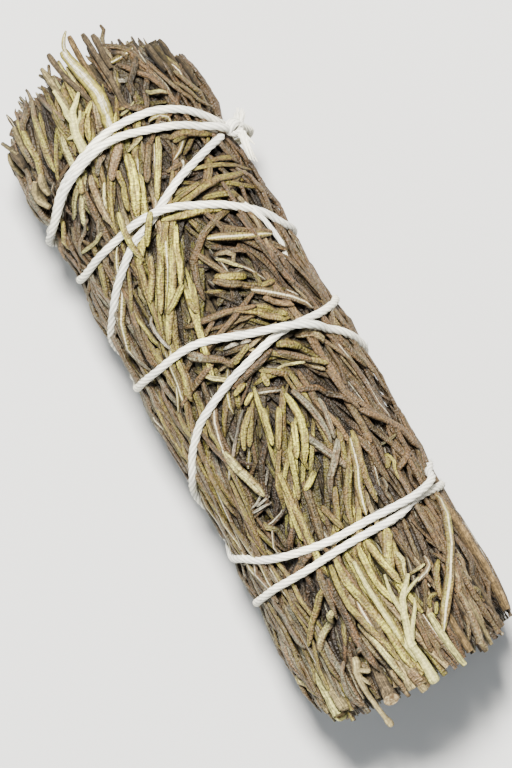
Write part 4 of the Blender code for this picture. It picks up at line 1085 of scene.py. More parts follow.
def needle_finish():
    """Crepe-like dry leaf. The look attribute holds (run, burial, own number)."""
    finish = Finish("dry rosemary needle", 0.5, 0.4)
    run, deep, own = finish.parts(finish.attribute("look", "Vector"))
    side, rise = finish.attribute("side"), finish.attribute("rise")
    own_place = finish.times(own, NUMBER_SPREAD)
    from_middle = finish.math("ABSOLUTE", side)
    under = finish.remap(rise, -0.1, 0.1, 1.0, 0.0)
    top = finish.math("SUBTRACT", 1.0, under)

    across = finish.times(side, 1.5)
    crosswise = finish.vector(finish.times(run, 3.4), across, own_place)
    crepe = finish.noise(crosswise, 1.0, 1.0, 0.5)
    stretch = finish.vector(finish.times(run, 0.36), finish.times(side, 0.9), own_place)
    withering = finish.noise(stretch, 1.0, 4.0, 0.6)
    lengthwise = finish.vector(finish.times(run, 0.25), finish.times(side, 4.2), own_place)
    lines = finish.noise(lengthwise, 1.0, 2.0, 0.6)
    specks = finish.noise(finish.place(), 2300.0, 1.0)

    tint = finish.shaded(finish.attribute("tint", "Color"), LEAF_DEPTH)
    withered = finish.mix(0.8, tint, PAINT_LIGHT["withered"])
    colour = finish.mix(finish.remap(withering, 0.45, 0.57, 0.0, 0.9), tint, withered)
    colour = finish.shaded(colour, finish.remap(crepe, *EASE, 0.68, 1.36))
    colour = finish.shaded(colour, finish.remap(lines, *EASE, 0.72, 1.25))
    # Mostly painted shade where the sides dip into the gaps, partly the browner rolled edge.
    edge = finish.remap(from_middle, 0.42, 0.98, 0.0, 0.85)
    colour = finish.mix(edge, colour, PAINT_LIGHT["edge_brown_and_shade"])
    # Painted shade in the groove down the top, darker on some needles than others.
    depth = finish.times(finish.remap(own, 0.3, 0.9, 0.1, 0.6), top)
    groove = finish.times(finish.remap(from_middle, 0.0, 0.25, 1.0, 0.0), depth)
    colour = finish.shaded(colour, finish.math("SUBTRACT", 1.0, groove))
    rib = finish.times(finish.remap(from_middle, 0.12, 0.3, 0.9, 0.0), under)
    colour = finish.mix(rib, colour, PAINT_LIGHT["midrib"])
    # Specks: partly the leaf's own pale dots, partly a painted sparkle of glints.
    colour = finish.shaded(colour, finish.remap(specks, 0.6, 0.74, 1.0, 1.7))
    # Painted shade: needles deep in the heap are darkened, for the light that doesn't reach them.
    colour = finish.shaded(colour, finish.remap(deep, 0.02, 0.5, 1.0, 0.22))
    height = finish.math("MULTIPLY_ADD", specks, 0.35, finish.math("MULTIPLY_ADD", lines, 0.5, crepe))
    return finish.done(colour, height, CREPE_BUMP)


needle_dry = needle_finish()

# %% Bark and bare wood
WOOD_SPREAD = 41.0  # sets the noises of two stems well apart
GRAIN_BUMP = 0.0003


def bark_finish():
    """Lengthwise grain, crosswise wrinkles, painted shade down the sides, pith on each cut end.

    The look attribute holds (run, burial, own number).
    """
    finish = Finish("rosemary bark", 0.85)
    run, deep, own = finish.parts(finish.attribute("look", "Vector"))
    side, rise = finish.attribute("side"), finish.attribute("rise")
    own_place = finish.times(own, WOOD_SPREAD)
    lengthwise = finish.vector(finish.times(run, 0.5), finish.times(side, 4.0),
                               finish.math("MULTIPLY_ADD", rise, 4.0, own_place))
    grain = finish.noise(lengthwise, 1.2, 4.0, 0.65)
    flecks = finish.noise(finish.place(), 1300.0, 2.0)
    crosswise = finish.vector(finish.times(run, 2.6), side, rise)
    wrinkles = finish.noise(crosswise, 1.0, 3.0, 0.6)
    shade = finish.times(finish.remap(grain, *EASE, 0.45, 1.45),
                         finish.remap(flecks, 0.42, 0.58, 0.8, 1.18))
    shade = finish.times(shade, finish.remap(wrinkles, *EASE, 0.72, 1.25))
    # Painted shade: the sides and underside of each stem are darker.
    shade = finish.times(shade, finish.remap(rise, -0.1, 0.75, 0.42, 1.1))
    colour = finish.shaded(finish.shaded(finish.attribute("tint", "Color"), LEAF_DEPTH), shade)
    pith = finish.mix(finish.remap(flecks, *EASE, 0.0, 1.0), PAINT_LIGHT["dark_pith"],
                      PAINT_LIGHT["pith"])
    colour = finish.mix(finish.attribute("cut"), colour, pith)
    # Painted shade: a stem inside the roll is darkened by the share its look carries.
    colour = finish.shaded(colour, finish.remap(deep, 0.0, 1.0, 1.0, 0.2))
    return finish.done(colour, grain, GRAIN_BUMP)


def peeled_finish():
    """A twig stripped of its bark on top: a pale streak down its middle, and bark at the sides.

    The look attribute holds (run, share that is peeled, own number). The larger the share, the
    wider and whiter the streak.
    """
    finish = Finish("peeled rosemary twig", 0.7)
    run, peeled, own = finish.parts(finish.attribute("look", "Vector"))
    side, rise = finish.attribute("side"), finish.attribute("rise")
    along, own_place = finish.times(run, 0.4), finish.times(own, WOOD_SPREAD)
    lengthwise = finish.vector(along, finish.times(side, 5.0), own_place)
    grain = finish.noise(lengthwise, 1.3, 4.0, 0.65)
    crosswise = finish.vector(finish.times(run, 3.0), side, own_place)
    wrinkles = finish.noise(crosswise, 1.0, 2.0, 0.6)
    wandering = finish.math("MULTIPLY_ADD", finish.math("SUBTRACT", grain, 0.5), 3.4,
                            finish.math("ABSOLUTE", side))
    from_streak = finish.math("DIVIDE", wandering, peeled)
    streak = finish.times(finish.remap(from_streak, 0.0, 0.5, 1.0, 0.0),
                          finish.remap(rise, 0.1, 0.7, 0.0, 1.0))
    bark_left = finish.shaded(finish.attribute("tint", "Color"), 0.62)
    bare = finish.mix(finish.remap(peeled, 0.45, 0.9, 0.0, 1.0), PAINT_LIGHT["thinly_peeled"],
                      PAINT_LIGHT["well_peeled"])
    colour = finish.mix(streak, bark_left, bare)
    colour = finish.shaded(colour, finish.remap(grain, *EASE, 0.55, 1.15))
    colour = finish.shaded(colour, finish.remap(wrinkles, *EASE, 0.7, 1.12))
    # Painted shade: the twig's sides and underside are darker.
    colour = finish.shaded(colour, finish.remap(rise, -0.1, 0.8, 0.34, 1.0))
    colour = finish.mix(finish.attribute("cut"), colour, PAINT_LIGHT["sawn"])
    return finish.done(colour, finish.math("MULTIPLY_ADD", wrinkles, 0.4, grain), GRAIN_BUMP)


bark = bark_finish()
bare_wood = peeled_finish()
print("finishes:", ", ".join(m.name for m in (needle_dry, bark, bare_wood)))

# %% [markdown]
# ## The sprigs' needles
# Each laid needle becomes a guide line of eight points, or five where it is buried and hardly
# seen. It is given to the sprig whose share of the roll its root is in, so that twelve pieces
# together make the skin.

# %% Guide lines for the laid needles
SPRIGS = 12
CLOSE_SHARES = np.array([0.0, 0.04, 0.16, 0.38, 0.62, 0.84, 0.95, 1.0])
CLOSE_GIRTHS = np.array([0.45, 0.74, 0.96, 1.0, 1.0, 0.88, 0.62, 0.22])
BURIED_SHARES = np.array([0.0, 0.1, 0.5, 0.9, 1.0])
BURIED_GIRTHS = np.array([0.5, 0.9, 1.0, 0.8, 0.25])
BLUNT_GIRTH, BLUNT_FROM, BLUNT_TO = 0.85, 50.0, 51.6  # needles were sawn off at the cut end
NEEDLE_GAP = 0.34  # between a needle's middle and the table
ROLL_SCATTER, TWIST_SCATTER = 15, 24  # degrees
TINT_RANGE = (0.7, 1.3)
# What is taken from red, green and blue down each side of the roll, and its share at the two ends.
KNOT_SIDE_LOSS, FAR_SIDE_LOSS = (0.52, 0.54, 0.61), (0.28, 0.28, 0.3)
LEFT_LOSS, RIGHT_LOSS = 0.34, 0.16
shape_draw = np.random.default_rng(5)


def darker_at_sides_and_ends(colour, x, angle):
    """A colour made darker down the roll's sides and at both its ends."""
    across = math.cos(math.radians(angle))
    sides = 1 - np.array(KNOT_SIDE_LOSS if across > 0 else FAR_SIDE_LOSS) * across**2
    left, right = smooth_step(-40.5, -45.5, x), smooth_step(38.0, 44.0, x)
    return colour * sides * (1 - LEFT_LOSS * left) * (1 - RIGHT_LOSS * right)


def needle_line(xs, angles, radius, deep, width, colour, flipped, buried=False):
    """One needle's guide line."""
    at, girths = (BURIED_SHARES, BURIED_GIRTHS) if buried else (CLOSE_SHARES, CLOSE_GIRTHS)
    x, angle = np.interp(at, SHARES, xs), np.interp(at, SHARES, angles)
    radius, deep = np.interp(at, SHARES, radius), np.interp(at, SHARES, deep)
    down = np.maximum(-np.sin(np.radians(angle)), 1e-3)
    points = from_axis(x, angle, np.minimum(radius, (AXIS_Z - NEEDLE_GAP) / down))
    run = at * np.linalg.norm(np.diff(points, axis=0), axis=1).sum()
    roll = math.radians(shape_draw.normal(0, ROLL_SCATTER)) + (math.pi if flipped else 0.0)
    twist = math.radians(shape_draw.normal(0, TWIST_SCATTER)) * (at - 0.5)
    girths = np.maximum(girths, BLUNT_GIRTH * smooth_step(BLUNT_FROM, BLUNT_TO, x))
    girth = girths * width / 2 * shape_draw.normal(1, 0.06, len(at))
    look = np.stack([run, deep, 0 * run + shape_draw.random()], axis=1)
    tint = darker_at_sides_and_ends(colour, x[2], angle[2]) * shape_draw.uniform(*TINT_RANGE)
    return guide_line(points, angle, girth, tint, look, roll + twist)


def over_the_string(x, angle):
    """Radius of something stiff that rests on the strands it crosses and slopes down beside them."""
    turned = np.radians(angle_between(angle[:, None], route[:, 1])) * SKIN
    away = np.hypot(x[:, None] - route[:, 0], turned)
    top = route[:, 2] + STRING_DIAMETER / 2 + 0.25 - 0.5 * np.maximum(away - 0.8, 0)
    top = top.max(axis=1)
    eased = np.convolve(np.pad(np.maximum(top, SKIN), 2, mode="edge"), np.ones(5) / 5, mode="valid")
    return np.maximum(eased, top)


def sprig_at(angle):
    """The number, from 0, of the sprig whose share of the roll this angle is in."""
    return int(round((angle - 270) / (360 / SPRIGS))) % SPRIGS


def one_by_hand(name, width, xs, angles, radii):
    """Gives its sprig a listed needle that isn't part of the heap. A star turns it over."""
    line = needle_line(xs, angles, radii, 0 * xs, width, PAINT_LIGHT[name.strip("*")],
                       name.endswith("*"))
    by_sprig[sprig_at(angles[0])].append(line)


by_sprig = {number: [] for number in range(SPRIGS)}
for xs, angles, heights, *rest in laid:
    radius, deep = pressed_radius(xs, angles, heights), burial(xs, angles, heights)
    by_sprig[sprig_at(angles[0])].append(needle_line(xs, angles, radius, deep, *rest))
for name, width, *places in OVER_THE_STRING:
    xs, angles = hand_samples(places)
    one_by_hand(name, width, xs, angles, over_the_string(xs, angles))
for name, width, *places in STANDING_CLEAR:
    xs, angles = hand_samples([place[:2] for place in places])
    along, _, heights = np.array(sorted(places)).T
    one_by_hand(name, width, xs, angles, np.interp(xs, along, heights))
print("needles in each sprig:", [len(lines) for lines in by_sprig.values()])

# %% Grow the sprigs
WHOLE = "root"
BROWN_SPRIGS = {1, 3, 4, 5, 6, 12}
triangles = 0


def settle(piece, node):
    """Gives a finished piece its body, hides the CAD node it stands for, and counts its triangles."""
    global triangles
    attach(piece, WHOLE)
    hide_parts(node)
    own = sum(len(face.vertices) - 2 for face in piece.data.polygons)
    triangles += own
    print(piece.name, "has", own, "triangles")


def make_piece(name, node, slot, lines, section, finish, tree=sweep, **inputs):
    """Grows a piece from guide lines and settles it."""
    guides = guide_object(name + "_guides", lines)
    piece = grown(name, guides, tree, section=section, unit=MM, finish=finish, **inputs)
    settle(piece, node)


for number, lines in by_sprig.items():
    node = f"sprig_{number + 1:02d}"
    slot = "brown_needles" if number + 1 in BROWN_SPRIGS else "green_needles"
    make_piece(node + "_leaves", node, slot, lines, needle_section, needle_dry)

# %% [markdown]
# ## Stems
# Under the needles run the woody stems. They are seldom seen along the roll, where they only make
# its dark depths, but their cut ends are plain to see at both ends. Between them stand the needles
# of the inner sprigs.

# %% Cut stems that show
# Each row has a paint's name and then places: x, y seen from above, radius and half thickness.
CUT_STEMS = [
    # the left end
    ("orange", (-57.1, 1.3, 14.3, 0.34), (-56.4, 1.25, 14.5, 0.46), (-53.5, 1.15, 14.8, 0.48),
     (-49.5, 1.3, 14.7, 0.45)),
    ("bark", (-56.4, 3.2, 14.4, 0.36), (-55.4, 3.25, 14.7, 0.46), (-52.0, 3.4, 15.0, 0.46),
     (-48.0, 3.55, 15.1, 0.46), (-44.5, 3.4, 15.0, 0.42), (-43.4, 4.2, 14.8, 0.28)),
    ("bark", (-55.6, 4.45, 14.2, 0.4), (-54.5, 4.5, 14.5, 0.55), (-52.0, 4.4, 14.6, 0.5),
     (-50.0, 4.4, 14.2, 0.4)),
    ("bark", (-56.3, -2.7, 14.2, 0.36), (-55.6, -2.7, 14.5, 0.48), (-53.0, -2.4, 14.9, 0.42),
     (-50.0, -1.6, 15.2, 0.42), (-47.2, -0.7, 15.2, 0.36)),
    ("bark", (-50.3, 10.6, 14.6, 0.4), (-49.6, 10.8, 14.9, 0.55), (-47.8, 11.0, 15.0, 0.52),
     (-45.8, 11.3, 14.6, 0.4)),
    ("brown", (-49.9, 11.7, 14.8, 0.4), (-49.0, 11.8, 15.1, 0.6), (-47.0, 12.0, 15.1, 0.52),
     (-44.6, 12.3, 14.8, 0.4)),
    ("bark", (-50.2, 12.7, 14.6, 0.36), (-49.2, 12.9, 15.0, 0.5), (-47.2, 13.0, 15.1, 0.46),
     (-45.2, 13.1, 14.9, 0.4)),
    ("tan", (-55.0, -4.7, 14.2, 0.3), (-53.4, -4.5, 14.7, 0.5), (-50.5, -4.3, 14.9, 0.5),
     (-47.0, -4.2, 14.7, 0.4)),
    ("bark", (-47.0, 13.7, 14.9, 0.35), (-45.5, 14.2, 15.2, 0.52), (-43.5, 14.4, 15.3, 0.48),
     (-41.5, 14.3, 15.1, 0.36)),
    ("bark", (-46.4, 14.5, 15.0, 0.3), (-45.0, 14.9, 15.2, 0.42), (-43.0, 15.1, 15.2, 0.4),
     (-40.5, 15.0, 15.1, 0.32)),
    ("bark", (-47.4, -14.3, 15.0, 0.4), (-46.2, -14.6, 15.4, 0.68), (-45.0, -14.4, 15.5, 0.72),
     (-43.8, -14.4, 15.3, 0.5)),
    ("tan", (-46.8, -15.2, 15.0, 0.36), (-45.6, -15.5, 15.3, 0.6), (-44.2, -15.4, 15.2, 0.55),
     (-42.8, -15.1, 14.9, 0.4)),
    ("tan", (-48.5, -15.4, 15.2, 0.3), (-47.4, -14.9, 15.6, 0.34), (-46.0, -14.2, 15.5, 0.3)),
    ("tan", (-41.6, -12.6, 15.1, 0.4), (-40.6, -13.0, 15.5, 0.62), (-39.4, -13.2, 15.6, 0.58),
     (-38.2, -13.0, 15.4, 0.4)),
    ("tan", (-41.0, -14.0, 15.1, 0.4), (-39.8, -14.6, 15.4, 0.66), (-38.2, -14.7, 15.5, 0.66),
     (-36.6, -14.0, 15.2, 0.45)),
    ("tan", (-49.6, -12.6, 14.6, 0.45), (-47.5, -12.9, 15.0, 0.55), (-44.0, -13.1, 14.9, 0.45)),
    # the cut end
    ("bark", (45.0, -5.8, 14.0, 0.5), (48.5, -6.0, 14.4, 0.75), (50.8, -6.15, 14.6, 1.0),
     (52.0, -6.2, 15.0, 1.15), (52.7, -6.25, 15.6, 1.2)),
    ("tan", (45.0, -1.9, 14.8, 0.5), (50.0, -1.7, 15.2, 0.7), (54.1, -1.3, 15.0, 0.6)),
    ("tan", (45.5, -2.9, 14.6, 0.5), (49.5, -2.8, 15.1, 0.7), (52.9, -2.7, 15.0, 0.8)),
    ("tan", (42.5, -13.4, 14.8, 0.4), (46.5, -13.3, 15.2, 0.7), (50.2, -12.9, 15.3, 1.0),
     (50.8, -12.9, 15.4, 0.8)),
    ("pale", (43.0, -14.2, 14.8, 0.4), (47.0, -14.2, 15.3, 0.75), (50.7, -14.1, 15.3, 1.1),
     (51.2, -14.1, 15.4, 0.8)),
    ("tan", (43.0, -15.3, 14.8, 0.4), (47.0, -15.3, 15.2, 0.6), (50.0, -15.2, 15.2, 0.75)),
    ("pale", (44.4, 5.0, 15.1, 0.45), (47.3, 5.05, 15.5, 0.6), (50.5, 5.3, 15.4, 0.56),
     (53.7, 5.8, 15.0, 0.42)),
    ("orange", (44.5, 7.5, 14.3, 0.4), (48.5, 7.4, 14.9, 0.52), (52.4, 7.5, 15.0, 0.6)),
    ("bark", (44.0, 9.7, 14.7, 0.4), (49.0, 9.75, 15.2, 0.5), (52.0, 9.4, 15.2, 0.5),
     (53.5, 9.5, 15.1, 0.32)),
    ("tan", (45.0, 10.9, 14.8, 0.32), (49.0, 11.0, 15.2, 0.4), (53.2, 10.8, 15.0, 0.3)),
    ("bark", (43.0, 13.4, 14.9, 0.35), (47.5, 13.5, 15.2, 0.48), (51.8, 13.2, 15.2, 0.5)),
]
ARM_POINTS = 26


def arm_line(rows, tint, own, peeled=0.0):
    """A twig's arm, a little uneven, from its given rows."""
    rows = np.array(rows, float)
    steps = np.arange(len(rows), dtype=float)
    wanted = np.linspace(0, steps[-1], ARM_POINTS)
    x, y, radius, girth = (through(steps, rows[:, k], wanted) for k in range(4))
    angle = seen_angle(x, y, radius)
    points = from_axis(x, angle, radius)
    run = np.r_[0, np.cumsum(np.linalg.norm(np.diff(points, axis=0), axis=1))]
    girth *= 1 + 0.07 * np.sin(run * 2.3 + own * 9) * np.sin(run * 0.9 + own * 5)
    look = np.stack([run, 0 * run + peeled, 0 * run + own], axis=1)
    return guide_line(points, angle, girth, tint, look)


# %% Stems under the skin and in the middle
STEMS_A_SPRIG = 4
STEM_TURN = 7.6  # degrees between a sprig's stems
OUTER_RADIUS = 11.5
OUTER_WIDTHS = (1.3, 2.1)
INNER_ROWS = ((8.4, 20, 2.1), (5.6, 13, 2.2), (2.8, 6, 2.4), (0.0, 1, 2.4))  # radius, count, width
HEART = 3.0  # stems nearer the axis than this are the heart sprig's
LEFT_CUT, RIGHT_CUT = -49.5, 50.3
NODE_STEP = 3.0  # between the leaf nodes along a stem
# Painted shade on the stems under the skin and in the middle, as shares of full darkening.
OUTER_GLOOM, INNER_GLOOM = 0.35, 0.3
stem_draw = np.random.default_rng(8)


def inner_node(angle, radius):
    """The inner sprig that a place in the middle of the roll belongs to."""
    number = int(((angle + 15) % 360) // 60) + 1
    return "heart_sprig" if radius < HEART else f"inner_sprig_{number:02d}"


def stem_line(angle, radius, thick, name, gloom):
    """One long stem's guide line, swaying a little, with a swelling at each leaf node."""
    left = LEFT_CUT + stem_draw.uniform(-3.0, 3.0)
    right = RIGHT_CUT + stem_draw.uniform(-2.2, 2.2)
    first = (math.ceil(left / NODE_STEP) + 0.5) * NODE_STEP
    x = np.r_[left, np.arange(first, right - 1, NODE_STEP), right]
    sway = 0.25 * np.sin(x * 0.21 + stem_draw.uniform(0, 6.28))
    angles = angle + 60 * sway / max(radius, 4)
    swell = 1 + 0.12 * (np.arange(len(x)) % 3 == 0)
    look = np.stack([x - left, 0 * x + gloom, 0 * x + stem_draw.random()], axis=1)
    tint = PAINT_LIGHT[name] * stem_draw.uniform(0.8, 1.15)
    return guide_line(from_axis(x, angles, radius + sway), angles, swell * thick / 2, tint, look)


stems_of = {}
for number in range(SPRIGS):
    for k in range(STEMS_A_SPRIG):
        angle = 270 + number * 360 / SPRIGS + (k - 1.5) * STEM_TURN
        radius = OUTER_RADIUS + stem_draw.uniform(-0.6, 0.7)
        lines = stems_of.setdefault(f"sprig_{number + 1:02d}", [])
        width = stem_draw.uniform(*OUTER_WIDTHS)
        lines.append(stem_line(angle, radius, width, "dark", OUTER_GLOOM))
for radius, count, thick in INNER_ROWS:
    for k in range(count):
        angle = 360 * (k + 0.3) / count + stem_draw.uniform(-3, 3)
        lines = stems_of.setdefault(inner_node(angle, radius), [])
        radius_here = radius + stem_draw.uniform(-0.3, 0.3)
        width = thick * stem_draw.uniform(0.7, 1.1)
        lines.append(stem_line(angle, radius_here, width, "brown", INNER_GLOOM))
for paint, *rows in CUT_STEMS:
    x, y, radius, _ = rows[len(rows) // 2]
    angle = float(seen_angle(x, y, radius))
    line = arm_line(rows, darker_at_sides_and_ends(PAINT_LIGHT[paint], x, angle), stem_draw.random())
    stems_of[f"sprig_{sprig_at(angle) + 1:02d}"].append(line)
for node, lines in stems_of.items():
    slot = "brown_needles" if node.startswith("sprig") else "bare_wood"
    make_piece(node + "_stems", node, slot, lines, stem_section, bark)

# %% Needles of the inner sprigs
INNER_NEEDLES = 760
INNER_REACH = 12.6  # they are spread evenly over a disc of this radius
INNER_LIMIT = 13.0  # and bend outwards no farther than this
INNER_LENGTHS = (7, 13)
INNER_GIRTHS = (0.35, 0.55)
INNER_COLOURS = ("brown", "olive", "tan", "dark", "grey")


def inner_needle(side):
    """A short needle inside the roll that reaches one end, and the node it belongs to."""
    angle, radius = stem_draw.uniform(0, 360), INNER_REACH * math.sqrt(stem_draw.uniform(0, 1))
    length = stem_draw.uniform(*INNER_LENGTHS)
    tip = (-52.5 + radius * 0.12 if side < 0 else 52.2) + side * stem_draw.uniform(-3.5, 1.2)
    at = BURIED_SHARES
    x = tip - side * length * (1 - at)
    angles = angle + stem_draw.normal(0, 60) / max(radius, 3) * (at - 0.5)
    radii = np.clip(radius + stem_draw.normal(0, 1.6) * (at - 0.5), 0.2, INNER_LIMIT)
    # Painted shade: an inner needle is darker towards its root, deep in the roll.
    look = np.stack([at * length, 0.55 - 0.4 * at, 0 * at + stem_draw.random()], axis=1)
    name = INNER_COLOURS[stem_draw.integers(5)]
    girth = BURIED_GIRTHS * stem_draw.uniform(*INNER_GIRTHS)
    line = guide_line(from_axis(x, angles, radii), angles, girth, PAINT_LIGHT[name], look,
                      stem_draw.uniform(0, 2 * math.pi))
    return inner_node(angle, radius), line


inner_lines = {}
for k in range(INNER_NEEDLES):
    node, line = inner_needle(1 if k % 2 else -1)
    inner_lines.setdefault(node, []).append(line)
for node, lines in inner_lines.items():
    make_piece(node + "_leaves", node, "inner_needles", lines, needle_section, needle_dry)

# %% [markdown]
# ## Bare twigs
# Five woody pieces lie on the outside and catch the eye. Each has a paint, a share that is peeled
# white, and a main arm with its side arms, as rows of (x, y seen from above, radius, half
# thickness). They end in stubs where they snapped.

# %% Bare twigs
TWIGS = {
    "pale_stem": ("olive", 0.9, [
        [(-55.5, -0.55, 14.8, 0.66), (-54.5, -0.5, 15.1, 0.82), (-52.0, -0.04, 15.3, 0.95),
         (-48.0, 0.65, 15.4, 1.1), (-45.0, 0.5, 15.1, 1.15), (-43.2, 0.1, 14.5, 1.02),
         (-41.4, -0.3, 13.9, 0.8)],
        [(-54.6, -0.2, 15.3, 0.32), (-56.0, -0.2, 15.5, 0.36), (-57.2, 0.5, 15.5, 0.3),
         (-58.0, 1.3, 15.3, 0.14)]]),
    "forked_stem_left": ("pale", 0.3, [
        [(-40.8, -5.3, 14.9, 0.75), (-43.6, -5.0, 15.3, 0.85), (-45.6, -4.4, 15.5, 0.75),
         (-46.9, -3.9, 15.6, 0.62), (-47.9, -2.8, 15.6, 0.42), (-49.1, -1.6, 15.4, 0.26)],
        [(-45.6, -4.4, 15.5, 0.7), (-46.9, -4.7, 15.7, 0.6), (-48.4, -4.6, 15.6, 0.4),
         (-51.2, -4.7, 15.2, 0.3)],
        [(-43.5, -4.6, 15.4, 0.45), (-43.75, -5.6, 15.7, 0.38), (-43.85, -6.5, 15.6, 0.16)],
        [(-44.8, -4.5, 15.5, 0.4), (-45.6, -3.4, 15.8, 0.3), (-46.6, -2.8, 15.6, 0.16)]]),
    "forked_stem_right": ("pale", 0.22, [
        [(53.6, 0.7, 14.7, 0.75), (53.1, 0.7, 14.8, 0.9), (50.0, 0.7, 15.2, 0.74),
         (47.6, 0.4, 15.4, 0.7), (47.2, 0.4, 15.45, 0.84), (46.8, 0.45, 15.5, 0.7),
         (45.0, 0.95, 15.5, 0.62), (43.4, 1.45, 15.6, 0.6), (43.1, 1.5, 15.6, 0.74),
         (42.8, 1.6, 15.6, 0.6), (41.5, 2.2, 15.6, 0.56), (40.4, 2.7, 15.6, 0.54),
         (39.0, 4.0, 15.6, 0.46), (37.7, 5.2, 15.4, 0.3)],
        [(49.5, 0.1, 15.0, 0.5), (47.0, -0.3, 15.3, 0.5), (44.0, -0.6, 15.4, 0.46),
         (41.0, -0.8, 15.4, 0.44), (38.0, -1.0, 15.3, 0.44), (35.0, -1.0, 15.1, 0.4),
         (32.0, -0.9, 14.8, 0.3)],
        [(43.0, 1.7, 15.6, 0.4), (40.5, 1.5, 15.7, 0.36), (38.0, 1.7, 15.6, 0.3),
         (36.0, 2.1, 15.3, 0.18)],
        [(46.5, 0.9, 15.6, 0.34), (44.5, 2.1, 15.8, 0.34), (42.5, 3.6, 15.8, 0.3),
         (41.2, 4.2, 15.6, 0.16)],
        [(40.3, 2.9, 15.7, 0.34), (39.6, 4.4, 15.9, 0.3), (38.9, 6.3, 15.8, 0.16)]]),
    "knob_stalk": ("tan", 0.2, [
        [(44.7, -7.9, 14.9, 0.5), (45.5, -8.1, 15.3, 0.66), (46.8, -8.7, 15.5, 0.62),
         (49.5, -8.95, 15.5, 0.45), (52.0, -8.75, 15.4, 0.4), (54.6, -8.4, 15.2, 0.4),
         (55.2, -8.3, 15.2, 0.58), (55.8, -8.2, 15.1, 0.6), (56.2, -8.2, 15.0, 0.42)],
        [(46.4, -8.5, 15.4, 0.4), (47.2, -7.3, 15.6, 0.42), (47.5, -6.9, 15.5, 0.26)],
        [(47.3, -8.7, 15.4, 0.35), (48.5, -8.2, 15.6, 0.3), (49.2, -7.9, 15.4, 0.16)]]),
    "brown_twig": ("orange", 0.0, [
        [(29.6, 14.9, 15.0, 0.5), (33.0, 15.3, 15.3, 0.66), (33.3, 15.3, 15.4, 0.78),
         (33.7, 15.35, 15.4, 0.68), (38.0, 15.55, 15.4, 0.74), (43.0, 15.7, 15.4, 0.74),
         (47.0, 15.6, 15.4, 0.72), (50.0, 15.4, 15.3, 0.66)]]),
}
for node, (paint, peeled, arms) in TWIGS.items():
    lines = [arm_line(rows, PAINT_LIGHT[paint], 0.13 * k + 0.1, peeled)
             for k, rows in enumerate(arms)]
    wood = bare_wood if peeled else bark
    make_piece(node + "_wood", node, "bare_wood", lines, stem_section, wood)

# %% [markdown]
# ## The string
# Cotton string is several yarns twisted round each other. Its section is a circle with a lobe for
# each yarn, and the tree turns that section steadily as it runs along the string's centre line.

# %% Twisted string
STRING_LOBES = 5
STRING_SIDES = 30
LOBE_DEPTH = 0.07
LAY = 9.0  # length of string in which its yarns go once round
RING_STEP = 0.42
FIBRE_BUMP = 0.00012


def string_tree():
    """Sweeps a lobed section along guide lines and turns it once in each lay length."""
    tree = Tree("twist a string", section="Object", unit="Float", step="Float", lay="Float")
    curve = tree.node("GeometryNodeMeshToCurve", {"Mesh": tree.start["guides"]}).outputs[0]
    links = {"Curve": curve, "Length": tree.start["step"]}
    even = tree.node("GeometryNodeResampleCurve", links, mode="LENGTH").outputs[0]
    walked = tree.node("GeometryNodeSplineParameter").outputs["Length"]
    turns = tree.math("DIVIDE", walked, tree.start["lay"])
    marked = tree.stored(tree.facing_curve(even), "turns", turns)
    links = {"Curve": marked, "Tilt": tree.math("MULTIPLY", turns, 2 * math.pi)}
    turned = tree.node("GeometryNodeSetCurveTilt", links).outputs[0]
    scale = tree.math("MULTIPLY", tree.named("girth"), tree.start["unit"])
    return tree.close(tree.swept(turned, scale))


def cotton_finish():
    """White cotton: fine fibres along the yarns, greyer patches, painted shade between the lobes."""
    finish = Finish("cotton string", 0.95, 0.1)
    turns, side, rise = finish.attribute("turns"), finish.attribute("side"), finish.attribute("rise")
    fibre_place = finish.vector(finish.times(turns, 5.0), finish.times(side, 5.0),
                                finish.times(rise, 5.0))
    fibres = finish.noise(fibre_place, 1.7, 4.0, 0.7)
    grey_patches = finish.noise(finish.place(), 140.0, 2.0)
    colour = finish.mix(finish.remap(grey_patches, 0.42, 0.6, 0.0, 0.8), PAINT_LIGHT["cotton"],
                        PAINT_LIGHT["greyer_cotton"])
    squared = finish.math("ADD", finish.times(side, side), finish.times(rise, rise))
    from_middle = finish.math("POWER", squared, 0.5)
    colour = finish.shaded(colour, finish.remap(from_middle, 0.84, 0.97, 0.6, 1.0))
    colour = finish.shaded(colour, finish.remap(fibres, *EASE, 0.78, 1.06))
    return finish.done(colour, fibres, FIBRE_BUMP)


string_section = section_object(
    "string section", round_section(STRING_SIDES, STRING_LOBES, LOBE_DEPTH))
twist = string_tree()
cotton = cotton_finish()


def thread_line(points, girth):
    """A guide line for cotton, facing out of the roll. The cotton finish reads no look."""
    angles = np.degrees(np.arctan2(points[:, 2], points[:, 1]))
    no_look = np.zeros((len(points), 3))
    return guide_line(points, angles, girth + 0 * angles, PAINT_LIGHT["white"], no_look)


# %% [markdown]
# The knot is two tight turns round the place where the string's ends meet. Both ends were cut with
# blunt scissors and have come apart into loose yarns.

# %% Wind and knot the string
KNOT_TURN = 0.95  # radius of the knot's turns
KNOT_TILTS = ((75, 20), (20, 70))
SLACK_STRAND = [  # a thinner strand half buried among the needles: rows of (x, angle, radius)
    (-22.5, 41.5, 15.0), (-21.0, 40.0, 15.5), (-19.0, 37.5, 15.8), (-16.8, 35.5, 15.8),
    (-14.6, 33.0, 15.5), (-12.4, 30.0, 14.4),
]
WOUND_GIRTH, KNOT_GIRTH, SLACK_GIRTH = 0.95, 0.9, 0.6  # shares of the string's half thickness
YARN_HALF = 0.27
YARN_GIRTHS = np.array([0.9, 1.0, 1.0, 0.95, 0.85, 0.6, 0.22])
